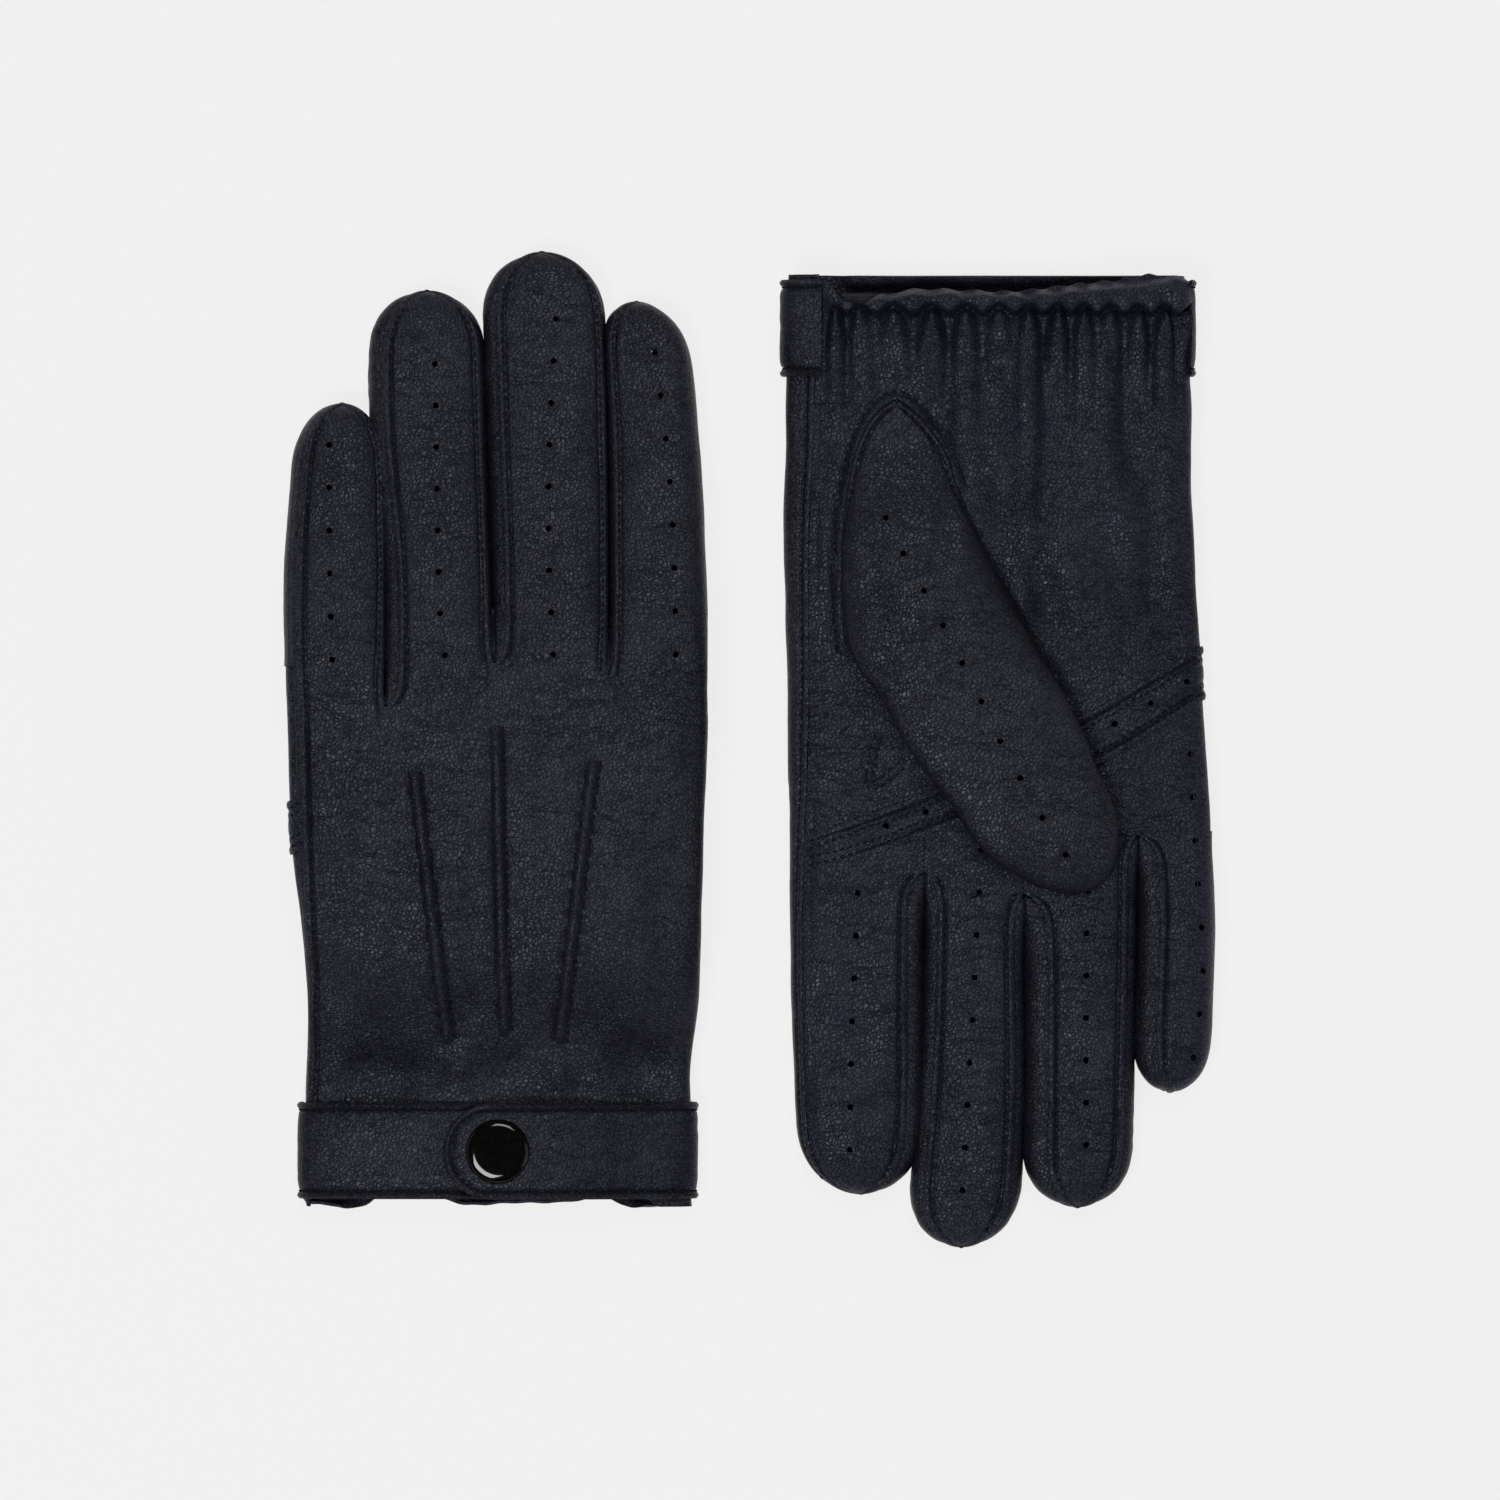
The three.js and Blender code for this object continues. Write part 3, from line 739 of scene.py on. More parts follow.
# Folds of the leather as (start, end, width, depth): first above the strap, then at the crotches and knuckles
BACK_FOLDS = (
    ((-38, 31), (-17, 30), 6.5, 1.5),
    ((-44, 60), (-30, 42), 5, 0.5),
    ((37, 26), (31, 38), 6.5, 1.4),
    ((3, 26), (2, 36), 5, 0.9),
    ((-8, 30), (-9, 36), 4, -0.9),
    ((15, 29), (14, 35), 4, -0.8),
    ((-26, 115), (-44, 127), 2.2, 0.45),
    ((-25, 112), (-40, 113), 3, 0.4),
    ((-0.6, 126), (13.5, 128.2), 0.6, 0.22),
    ((0, 124), (-16, 116), 3, 0.4),
    ((26.5, 122), (14, 127), 2.2, 0.35),
    ((28, 122), (44, 129), 3.2, 0.4),
    ((29, 119), (40, 110), 4, 0.4),
    ((-44, 91), (-34, 93), 1, 0.15),
)
# Long soft folds under the gathers, then short creases, and two at the fingers' crotch
PALM_FOLDS = (
    ((-4, 14), (-5, 74), 4.5, -0.8),
    ((2.5, 18), (1, 48), 4, 0.7),
    ((-14, 20), (-9, 52), 3.4, 0.7),
    ((-20, 14), (-24, 50), 4, -0.6),
    ((-31, 16), (-30, 44), 4, 0.5),
    ((9, 40), (20, 28), 3.5, 0.7),
    ((12, 30), (30, 20), 4, 0.7),
    ((-4, 78), (-22, 112), 4, 0.5),
    ((2, 46), (-14, 82), 4, 0.9),
    ((-34, 40), (-36, 76), 6, 0.5),
    ((-6, 32), (3, 31), 0.6, 0.25),
    ((10, 46), (2, 44), 0.6, 0.2),
    ((37, 87), (44, 86), 0.6, 0.2),
    ((-2, 52), (8, 51), 0.6, 0.2),
    ((15, 133), (2, 138), 0.8, 0.25),
    ((14, 137), (4, 144), 0.8, 0.2),
)
THUMB_FOLDS = (
    ((33, 60), (27, 76), 3, 0.4),
    ((12, 50), (16, 66), 3, 0.4),
    ((30, 88), (8, 78), 4, 0.45),
    ((22, 100), (2, 92), 4, -0.25),
)


def back_relief(u, v):
    """Soft undulation of the back: valleys above the strap, pulls at the crotches and knuckle creases."""
    height = 0.30 * broad(u, v) + 0.08 * medium(u, v) + 0.016 * small(u, v) + 0.006 * tiny(u, v)
    wrist = smooth(v, 18, 34) * (1 - smooth(v, 52, 78))
    height = height + 0.14 * wrist * lengthwise(u, v) + folds(u, v, BACK_FOLDS)
    creased = bump(u, -21, 7) * bump(v, 203, 7) + bump(u, 11, 8) * bump(v, 215, 5)
    creased = creased + bump(u, 30, 7) * bump(v, 203, 8) + 0.6 * bump(v, 121, 9)
    return calm(u) * (height + creased * (0.11 * small(u * 1.4, v) + 0.07 * tiny(u, v)))


def pleat_phase(u):
    return np.interp(-np.asarray(u, float), [-p for p in PLEATS], np.arange(len(PLEATS)))


def gather_line(u):
    """v of the elastic's lower stitching, which dips between the pleats."""
    return 5.6 - 1.1 * np.cos(2 * math.pi * pleat_phase(u))


def gather_relief(u, v):
    """Elastic wrist: a rolled, puffed hem, a scalloped gather line, and pleats that open out below it."""
    phase = pleat_phase(u)
    ridge = 0.5 + 0.5 * np.cos(2 * math.pi * phase)
    uneven = 0.85 + 0.3 * np.sin(1.7 * phase + 0.6)
    below = v - gather_line(u)
    raised = GATHER_RISE * np.exp(-((below / 9.0) ** 2))
    groove = -1.9 * np.exp(-((below / 0.9) ** 2))
    hem = smooth(-below, 0.0, 1.5) * (1 - smooth(-below, 4.5, 8.5))
    puffs = hem * (0.8 + 0.9 * (1 - ridge))
    opened = smooth(below, -0.3, 1.6)
    tongue = mix(ridge**2.0, 1 - (1 - ridge) ** 2.2, smooth(below, 0, 7))
    pleats = opened * uneven * np.exp(-np.maximum(below, 0) / 11.0) * (4.3 * tongue - 2.2)
    return raised + groove + puffs + pleats


def palm_relief(u, v):
    """The palm: long soft folds below the wrist's gathers, and creases where it bends."""
    height = 0.32 * broad(u + 40, v) + 0.10 * medium(u + 40, v) + 0.018 * small(u, v) + 0.006 * tiny(u, v)
    wrist = smooth(v, 10, 22) * (1 - smooth(v, 60, 95))
    height = height + 0.25 * wrist * lengthwise(u + 30, v) + folds(u, v, PALM_FOLDS)
    creased = 0.5 * bump(u, 2, 10) * bump(v, 138, 7) + bump(u, -38, 5) * bump(v, 172, 7)
    return calm(u) * (height + creased * (0.10 * small(u, v) + 0.07 * tiny(u, v)))


def seam_relief(distance, along=0.0, inset=STITCH_INSET):
    """A panel's sewn edge: a flat raised lip, and the groove that its stitches pull in, stitch by stitch."""
    lip = 0.42 * np.exp(-(np.abs((distance - inset * 0.42) / (inset * 0.55)) ** 3))
    pull = 1 + 0.35 * np.cos(2 * math.pi * np.asarray(along, float) / STITCH_PITCH)
    return lip - 0.55 * pull * bump(distance, inset, 0.45)


def dimples(u, v, holes):
    """The leather round each punched hole, pressed in a little."""
    height = np.zeros_like(u)
    for hu, hv in holes:
        height -= 0.16 * np.exp(-((u - hu) ** 2 + (v - hv) ** 2) / 1.7)
    return height


# ---- Punched holes: rows along the backs, the fronts, the palm band and the thumb ----


def row_of_holes(points, count):
    """Evenly spaced holes along a curve through (v, u) points."""
    line = curve(*points)
    v = np.linspace(points[0][0], points[-1][0], count)
    return list(zip(line(v), v))


BACK_HOLES = {
    "little": row_of_holes([(127.5, -37.7), (147, -38.3), (177.5, -38.7)], 6),
    "ring": row_of_holes([(128.5, -11.6), (138, -12.7), (158, -13.4), (196.3, -14.2)], 8),
    "middle": row_of_holes([(128.7, 13.5), (147, 12.5), (177, 12.4), (206.8, 13.9)], 9),
    "index": row_of_holes([(128.7, 41.8), (149, 41.5), (179, 39.5), (199, 36.8)], 8),
}
PALM_HOLES = {
    "little": row_of_holes([(108, -43.8), (138, -45.5), (158, -46.8), (178.6, -44.5)], 8),
    "ring": row_of_holes([(130.0, -20.0), (150, -19.6), (198.9, -19.5)], 8),
    "middle": row_of_holes([(130.3, 4.8), (159.5, 6.4), (209.4, 9.2)], 9),
    "index": row_of_holes([(140.3, 33.6), (170, 34.8), (200, 35.5)], 7),
}
BAND_HOLES = [
    (-43, 91.2), (-34.5, 96.2), (-26.1, 101), (-17.3, 105.7), (17.8, 121.5), (27, 124.7), (36.4, 128.6),
]
THUMB_HOLES = [
    (27.2, 53.3), (23.1, 61.6), (18.4, 70.2), (13.9, 78.3), (9.5, 87),
    (5.1, 95.9), (0.7, 105.1), (-4, 113.6), (-9.1, 122.8), (-14.5, 131.4),
]


# ---- Leather panels ----


class Sheet:
    """A sheet of leather: its mesh, and the grid of its outer face with normals for what is sewn on."""

    def __init__(self, points, outward, relief, holes=(), lift=0.0):
        """Raises a grid of points by its relief along its outward normals, and punches its holes."""
        normal = normals_of(points)
        flip = np.sign(np.sum(normal * outward, axis=-1).mean())
        normal = normal * flip
        self.points = points + normal * (relief + lift)[..., None]
        dropped = punch(self.points, holes, np.sum(normal * outward, axis=-1) > HOLE_FACING)
        self.normals = normals_of(self.points) * flip
        faces = grid_faces(*points.shape[:2], dropped)
        if flip > 0:
            faces = faces[:, ::-1]
        self.mesh = solid_sheet(self.points, self.normals, faces, LEATHER)


def leather_piece(name, glove, sheet, material):
    made = make_object(f"{glove.side}_{name}_leather", glove, *sheet.mesh, material)
    return made


def dense_turns(first, last, exponent):
    """Turns from first to last degrees at which a rounded-box wall has close, even points."""
    place = power(np.linspace(0, 1, 130), 1 / exponent)
    quarter = np.concatenate([np.degrees(np.arccos(place)), np.degrees(np.arcsin(place))])
    whole = np.concatenate([quarter, 180 - quarter, 180 + quarter, 360 - quarter])
    turns = np.unique(np.concatenate([whole - 360, whole, whole + 360]).round(9))
    return np.concatenate([[first], turns[(turns > first + 0.01) & (turns < last - 0.01)], [last]])


def spread(wall, shares):
    """Points along a wall of points, at shares of its length."""
    arc = arc_of(wall)
    return at_arc(wall, arc, shares * arc[-1])


def seam_wall(glove, v, palm):
    """Points along the back or the palm, from seam to seam, at one v."""
    first, last = glove.seam_turns(v)
    if palm:
        first, last = last, first + 360
    return glove.hand_point(dense_turns(float(first), float(last), SQUARE), v)


def seam_shares(glove, step, palm=False):
    return edge_shares(arc_of(seam_wall(glove, 60.0, palm))[-1], step)


def even_turns(glove, start, end, v, step):
    """Turns round the hand between two turns, evenly spaced along its wall at v."""
    dense = dense_turns(float(start), float(end), SQUARE)
    arc = arc_of(glove.hand_point(dense, v))
    return np.interp(np.linspace(0, arc[-1], int(arc[-1] / step) + 1), arc, dense)


def edge_distance(points):
    """Distance of each grid point from the first and the last column, along its row."""
    steps = np.linalg.norm(np.diff(points, axis=1), axis=-1)
    arc = np.concatenate([np.zeros((len(points), 1)), np.cumsum(steps, axis=1)], axis=1)
    return arc, arc[:, -1:] - arc


def hand_back(glove):
    hem = glove.hem
    v_rows = np.linspace(hem.back, SPLIT_BACK + SPLIT_LAP, int((SPLIT_BACK - hem.back) / GRID))
    shares = seam_shares(glove, GRID)
    points = np.array([spread(seam_wall(glove, v, False), shares) for v in v_rows])
    at_corner = smooth(points[..., 0], 34, 38)
    points[..., 1] -= hem.corner * (1 - smooth(points[..., 1], hem.back, hem.back + 7)) * at_corner
    u, v = points[..., 0], points[..., 1]
    start, end = edge_distance(points)
    relief = back_relief(u, v) + pintuck_relief(u, v) + seam_relief(start, v) + seam_relief(end, v)
    relief = relief - hem.dip * smooth(hem.back + 4 - v, 0, 4) * (1 - at_corner)
    return Sheet(points, BACKWARDS, relief, lift=LAP)


BAND_HEEL = curve((-48, 82.0), (-18.5, 99.1), (16, 116.2), (45.7, 127.2), (50, 128.6))
BAND_SLOPE = 0.87  # cosine of the band's slant across the hand
BAND_ROWS = (1.7, 3.6)  # from its edge to its two rows of stitches
BAND_FRONT = curve((-48, 94.3), (-23.6, 109.5), (9, 123.5), (45.5, 136.1), (50, 137.2))


def palm_grid(glove, low, high, step=GRID):
    """Points of the palm from seam to seam, between two lines v(u)."""
    shares = seam_shares(glove, step, True)
    u = spread(seam_wall(glove, 90.0, True), shares)[:, 0]
    bottom, top = low(u), high(u)
    rows = int(np.max(top - bottom) / step) + 2
    v_rows = np.arange(np.min(bottom), np.max(top) + 1.0, 1.0)
    walls = np.array([spread(seam_wall(glove, v, True), shares) for v in v_rows])
    v = bottom + (top - bottom) * np.linspace(0, 1, rows)[:, None]
    grid = np.empty((rows, len(shares), 3))
    for j in range(len(shares)):
        grid[:, j, 0] = np.interp(v[:, j], v_rows, walls[:, j, 0])
        grid[:, j, 2] = np.interp(v[:, j], v_rows, walls[:, j, 2])
    grid[..., 1] = v
    return grid


def hem_line(glove, u):
    """v of the palm's hem, a little scalloped by its gathers."""
    return glove.hem.palm(u) + glove.hem.scallop * np.cos(2 * math.pi * pleat_phase(u))


def palm_heel(glove):
    points = palm_grid(glove, lambda u: hem_line(glove, u), lambda u: BAND_HEEL(u) + SEAM_LAP)
    u, v = points[..., 0], points[..., 1]
    side = np.minimum(*edge_distance(points))
    edge = smooth(side, 0, 5)
    rolled = (1 - smooth(v - hem_line(glove, u), 0, 2.4)) ** 2
    relief = palm_relief(u, v) + gather_relief(u, v - glove.hem.gather_up) * glove.hem.gather
    relief = (relief + thumb_hole_relief(u, v) - 2.2 * rolled) * edge + seam_relief(side) * 0.15
    return Sheet(points, PALMWARDS, relief)


def palm_band(glove):
    points = palm_grid(glove, BAND_HEEL, BAND_FRONT, 0.5)
    u, v = points[..., 0], points[..., 1]
    side = np.minimum(*edge_distance(points))
    seams = 0
    for away in ((v - BAND_HEEL(u)) * BAND_SLOPE, (BAND_FRONT(u) - v) * BAND_SLOPE):
        seams = seams + seam_relief(away, u) - 0.3 * bump(away, BAND_ROWS[1], 0.5)
    seams = seams * mix(0.15, 1, smooth(side, 3, 8))
    relief = palm_relief(u, v) * smooth(side, 0, 5) * 0.6 + seams + dimples(u, v, BAND_HOLES)
    return Sheet(points, PALMWARDS, relief, BAND_HOLES, LAP + 0.15)


def palm_front_start(u):
    return np.minimum(BAND_FRONT(u) - SEAM_LAP, SPLIT_PALM - 1.5)


def palm_front(glove):
    points = palm_grid(glove, palm_front_start, lambda u: np.full_like(u, SPLIT_PALM + SPLIT_LAP))
    points = points[:, points[0, :, 0] < glove.fingers["index"].left(120.0) + 0.3]
    u, v = points[..., 0], points[..., 1]
    holes = [hole for hole in PALM_HOLES["little"] if hole[1] < SPLIT_PALM - 1]
    side = edge_distance(points)[0]
    relief = palm_relief(u, v) * smooth(side, 0, 5) + 0.5 * seam_relief(side) + dimples(u, v, holes)
    return Sheet(points, PALMWARDS, relief, holes)


# ---- Fingers ----


def finger_wall(glove, finger, v, turns):
    """Points round a finger at one v, where it leaves the hand's faces and turns into a tube."""
    centre, half, _ = finger.edges(v)
    share = power(np.cos(np.radians(turns)), FINGER_SQUARE)
    rise = power(np.sin(np.radians(turns)), FINGER_SQUARE)
    u = centre + half * share
    low, high = glove.palm(v), glove.back(v)
    deep = (high - low) / 2
    cap = np.sqrt(np.maximum(1 - (1 - finger.cap(v)) ** 2.2, 0.05)) * mix(0.35, 1, finger.cap(v))
    tube = (low + high) / 2 + deep * cap * rise
    face = np.where(rise >= 0, 1.0, -1.0)
    flat = glove.hand_height(u, v, face)
    weights = []
    for left, right in (finger.crotch_back, finger.crotch_palm):
        leave = mix(left or right, right or left, (share + 1) / 2)
        weights.append(smooth(v, leave - 3, leave + 17))
    weight = np.where(rise >= 0, weights[0], weights[1])
    return np.stack([u, np.full_like(u, v), mix(flat, tube, weight)], axis=-1)


def seam_turn(finger, v, side, face):
    """The turn at which a finger's seam runs: side 0 left or 1 right, face 1 back or -1 palm."""
    crotch = (finger.crotch_back if face > 0 else finger.crotch_palm)[side]
    if crotch is None:
        inset = float(little_seam(v) if side == 0 else index_seam(v))
    else:
        inset = finger.seams[0 if face > 0 else 1][side] * (1 - math.exp(-max(0.0, v - crotch) / 2.6))
    half = finger.edges(v)[2]
    share = min(1.0, max(0.0, 1 - inset / half))
    turn = math.degrees(math.acos(share ** (1 / FINGER_SQUARE)))
    if side == 0:
        turn = 180 - turn
    return turn if face > 0 else -turn


def panel_turns(finger, kind, v):
    """First and last turn of a finger's back, front or fourchette (left or right) round it at v."""
    back_left, back_right = seam_turn(finger, v, 0, 1), seam_turn(finger, v, 1, 1)
    palm_left, palm_right = seam_turn(finger, v, 0, -1), seam_turn(finger, v, 1, -1)
    if kind == "back":
        return (palm_right if finger.outer == "right" else back_right), back_left
    if kind == "front":
        return (back_left if finger.outer == "left" else 360 + palm_left), 360 + palm_right
    if kind == "right":
        return palm_right, back_right
    return back_left, 360 + palm_left


def finger_panel(glove, finger, kind, start):
    """Points of one of a finger's panels, row by row with even steps along the wall."""
    walls = []
    for v in finger.rows(start):
        turns = dense_turns(*panel_turns(finger, kind, v), FINGER_SQUARE)
        walls.append(finger_wall(glove, finger, v, turns))
    shares = edge_shares(max(arc_of(wall)[-1] for wall in walls))
    return np.array([spread(wall, shares) for wall in walls])


def edge_shares(width, step=GRID):
    """Shares of a panel's width, closer together within 3 mm of its edges."""
    near = np.arange(0, 3.0, EDGE_GRID)
    count = max(2, int((width - 6) / step))
    middle = np.linspace(3.0, width - 3.0, count) if width > 7 else np.array([width / 2])
    near = near[near < width / 2 - 0.2]
    return np.concatenate([near, middle, (width - near)[::-1]]) / width


def widened(points, by):
    """A strip with both side edges carried on by a column, so that they run in under the panels."""
    first = points[:, :1] + (points[:, :1] - points[:, 1:2]) * by
    last = points[:, -1:] + (points[:, -1:] - points[:, -2:-1]) * by
    return np.concatenate([first, points, last], axis=1)


def finger_face(glove, finger, kind):
    """The back or the front of a finger. A row of holes runs along it, and a raised seam along each side."""
    on_back = kind == "back"
    start = SPLIT_BACK if on_back else SPLIT_PALM
    points = finger_panel(glove, finger, kind, start)
    u, v = points[..., 0], points[..., 1]
    holes = (BACK_HOLES if on_back else PALM_HOLES)[finger.name]
    holes = [hole for hole in holes if hole[1] > start + 1]
    sides = edge_distance(points)[:: -1 if on_back else 1]
    lip = 0
    for side, crotch in zip(sides, finger.crotch_back if on_back else finger.crotch_palm):
        outer = 1.0 if on_back else FRONT_OUTER_SEAM
        grown = outer if crotch is None else smooth(v, crotch - 1, crotch + 2)
        lip = lip + seam_relief(side, v) * grown
    tip = smooth(v, finger.tip - 9, finger.tip - 3)
    surface = back_relief(u, v) if on_back else palm_relief(u, v)
    relief = surface * smooth(np.minimum(*sides), 0, 3) * (1 - 0.7 * tip) + lip * (1 - 0.6 * tip)
    relief = relief + dimples(u, v, holes)
    return Sheet(points, BACKWARDS if on_back else PALMWARDS, relief, holes, LAP)


def fourchette(glove, finger, kind):
    """The strip along the left or right side of a finger, sewn in under its back and its front."""
    side = 0 if kind == "left" else 1
    start = min(finger.crotch_back[side], finger.crotch_palm[side]) - 2
    points = widened(finger_panel(glove, finger, kind, start), FORK_TUCK)
    v, z = points[..., 1], points[..., 2]
    under = np.minimum(*edge_distance(points))
    relief = 0.05 * medium(z * 1.3, v) + 0.03 * small(z, v) + 0.2
    relief = relief - FORK_DROP * np.exp(-((under / 2.0) ** 2))
    return Sheet(points, (2 * side - 1, 0, 0), relief)


# ---- Thumb: a flattened tube, sewn into the palm at its base and lying free across it ----

# Outline of the thumb: share of its length, then its edge on the index finger's side and its other edge
THUMB_SIDES = [
    (0.00, (24.9, 26.3), (24.3, 26.5)),
    (0.04, (28.6, 28.8), (20.4, 29.4)),
    (0.12, (33.2, 36.0), (13.9, 37.4)),
    (0.20, (35.8, 47.5), (11.0, 46.1)),
    (0.32, (36.9, 62.0), (3.4, 62.5)),
    (0.45, (36.6, 75.5), (-6.0, 79.0)),
    (0.53, (34.9, 85.5), (-11.0, 88.5)),
    (0.62, (28.4, 95.2), (-15.9, 98.2)),
    (0.74, (20.3, 109.0), (-21.4, 110.0)),
    (0.86, (11.0, 121.5), (-25.6, 120.0)),
    (1.00, (-0.5, 140.0), (-30.5, 141.0)),
]
THUMB_LENGTH = 124.0
THUMB_TACK = [(28.7, 103.7), (30.2, 109.5), (30.6, 115.2), (27.0, 113.6), (22.9, 110.3)]
THUMB_TIP = 15.0
THUMB_ROUND = 42  # length of its outer face across the thumb
THUMB_EDGE = [
    (37.2, 84), (37.8, 72), (37.4, 60), (36.4, 47.5), (33.8, 36),
    (29.8, 28.8), (25.0, 25.4), (20.0, 28.0), (13.6, 36.4), (10.2, 45.6),
]


def dense_path(points, step=0.6):
    """A polyline rounded into a smooth path with even steps."""
    at = np.arange(len(points))
    fine = np.linspace(0, len(points) - 1, 400)
    path = np.stack([curve(*zip(at, values))(fine) for values in zip(*points)], axis=1)
    arc = arc_of(path)
    return at_arc(path, arc, np.linspace(0, arc[-1], int(arc[-1] / step) + 1))


def near_path(u, v, path):
    """Shortest distance from each place to a path."""
    flat = np.stack([u.ravel(), v.ravel()], axis=1)
    best = np.full(len(flat), 1e9)
    for point in path:
        best = np.minimum(best, np.sum((flat - point) ** 2, axis=1))
    return np.sqrt(best).reshape(u.shape)


def thumb_hole_relief(u, v):
    """The raised, stitched rim in the palm round the thumb's base."""
    away = near_path(u, v, dense_path(THUMB_EDGE))
    tack = near_path(u, v, dense_path(THUMB_TACK))
    rim = 0.65 * np.exp(-((away / 1.0) ** 2)) - 0.5 * bump(away, 1.6, 0.5)
    return rim + 0.3 * np.exp(-((tack / 0.6) ** 2)) - 0.4 * bump(tack, 0.95, 0.4)


def thumb_side(share, side, axis):
    return curve(*[(row[0], row[side][axis]) for row in THUMB_SIDES])(share)


def thumb_section(glove, along, turns):
    """Points of the thumb's wall: turn 90 lies away from the palm, 0 on the index finger's side."""
    share = along / THUMB_LENGTH
    past = np.clip((along - (THUMB_LENGTH - THUMB_TIP)) / THUMB_TIP, 0, 1)
    cap = np.sqrt(np.maximum(1 - past**2.4, 0.0005))
    inner_u, inner_v = thumb_side(share, 1, 0), thumb_side(share, 1, 1)
    outer_u, outer_v = thumb_side(share, 2, 0), thumb_side(share, 2, 1)
    u, v = (inner_u + outer_u) / 2, (inner_v + outer_v) / 2
    across = cap * power(np.cos(np.radians(turns)), 0.80) / 2
    rise = power(np.sin(np.radians(turns)), 0.66)
    high = np.maximum(glove.thumb_lift(v) - 0.2, 0.9) * mix(0.25, 1, cap)
    free = smooth(along, 52, 76)
    middle = 0.5 * high * free
    above = np.where(rise >= 0, middle + (high - middle) * rise, middle + middle * rise)
    place_u, place_v = u + (inner_u - outer_u) * across, v + (inner_v - outer_v) * across
    return np.stack(np.broadcast_arrays(place_u, place_v, glove.palm(v) - 0.35 - above), axis=-1)


def thumb_relief(u, v):
    height = 0.26 * broad(u, v + 50) + 0.09 * medium(u, v + 30) + 0.018 * small(u, v) + 0.006 * tiny(u, v)
    creased = bump(u, -14, 9) * bump(v, 131, 6)
    return height + folds(u, v, THUMB_FOLDS) + creased * 0.12 * small(u, v)


def thumb_sheet(glove, first, last, start, holes, sink=0.0):
    """One face of the thumb, from one turn round it to another. It is sewn along its first half."""
    along = tip_rows(start, THUMB_LENGTH, THUMB_TIP, 24)[:, None]
    walls = thumb_section(glove, along, np.linspace(first, last, 400)[None, :])
    shares = edge_shares(THUMB_ROUND)
    points = np.array([spread(wall, shares) for wall in walls])
    u, v = points[..., 0], points[..., 1]
    side = np.minimum(*edge_distance(points))
    rim = seam_relief(side, v) * (1 - smooth(along, 56, 68))
    relief = thumb_relief(u, v) * smooth(side, 0, 3) + rim + dimples(u, v, holes) - sink
    return Sheet(points, PALMWARDS if first < 90 else BACKWARDS, relief, holes)


# ---- Strap and snap ----

STRAP_HALF = 11.2
STRAP_THICK = 1.2
STRAP_COLUMNS = 38
STRAP_INSET = 1.7  # from the strap's edge to its stitches
STRAP_END = -12.2  # u of the tab's rounded end
TAB_ROUND = -1.0  # u at which its rounding starts
FLAT_SNAP = 3.8  # how far the tab lies off the leather at the snap


def strap_line(glove, outer):
    """Points along the middle of the strap's outer or inner length, laid on the back of the hand."""
    v = glove.cap_at[1]
    if outer:
        turns = even_turns(glove, -42.0, glove.turn_at(TAB_ROUND, v, 1), v, 0.6)
        round_u = TAB_ROUND + (STRAP_END - TAB_ROUND) * np.sin(np.linspace(0, math.pi / 2, 26)[1:])
        turns = np.concatenate([turns, glove.turn_at(round_u, v, 1)])
    else:
        turns = even_turns(glove, glove.turn_at(14.0, v, 1), 192.0, v, 0.6)
    return glove.hand_point(turns, v)


def strap_sheet(glove, outer):
    """The strap's outer length with its rounded tab, or the inner length under it, and its edge distances."""
    line = strap_line(glove, outer)
    half = np.full(len(line), STRAP_HALF)
    seat = np.full(len(line), 0.6)
    if outer:
        past = np.clip((TAB_ROUND - line[:, 0]) / (TAB_ROUND - STRAP_END), 0, 0.9995)
        half = STRAP_HALF * np.sqrt(1 - past**2)
        seat = seat + (FLAT_SNAP - 0.6) * smooth(-line[:, 0], -38, -8)
    slope = np.gradient(line, axis=0)
    normal = np.stack([slope[:, 2], np.zeros(len(line)), -slope[:, 0]], axis=1)
    normal /= np.linalg.norm(normal, axis=1, keepdims=True)
    normal *= np.sign(normal[len(normal) // 2, 2])
    points = np.repeat(line[None], STRAP_COLUMNS, axis=0)
    points[..., 1] += np.linspace(-1, 1, STRAP_COLUMNS)[:, None] * half
    points = points + normal * (seat + STRAP_THICK)[:, None]
    u, across = points[..., 0], points[..., 1] - glove.cap_at[1]
    edge = half - np.abs(across)
    if outer:
        edge = np.minimum(edge, np.where(u < TAB_ROUND, STRAP_HALF - np.hypot(u - TAB_ROUND, across), 99))
    relief = seam_relief(edge, u, STRAP_INSET) - 0.35 * smooth(-edge, -0.7, 0)
    relief = relief + 0.06 * medium(u, points[..., 1]) + 0.03 * small(u, points[..., 1])
    return Sheet(points, BACKWARDS, relief + 0.25 * smooth(edge, STRAP_INSET, 4.5)), edge


def contour_stitches(sheet, distance, inset):
    """Stitches along the line at which a grid's edge distance has one value: round a strap or a tab."""
    count = len(sheet.points)
    half = count // 2
    columns = np.flatnonzero(distance[half] > inset)
    lower = [np.interp(inset, distance[: half + 1, j], np.arange(half + 1)) for j in columns]
    upper = [np.interp(-inset, -distance[half:, j], np.arange(half, count)) for j in columns]
    rows = np.array(lower + upper[::-1])
    columns = np.concatenate([columns, columns[::-1]])
    base = np.floor(rows).astype(int)
    after = np.minimum(base + 1, count - 1)
    part = (rows - base)[:, None]
    where = mix(sheet.points[base, columns], sheet.points[after, columns], part)
    up = mix(sheet.normals[base, columns], sheet.normals[after, columns], part)
    return stitches_along(where, up)


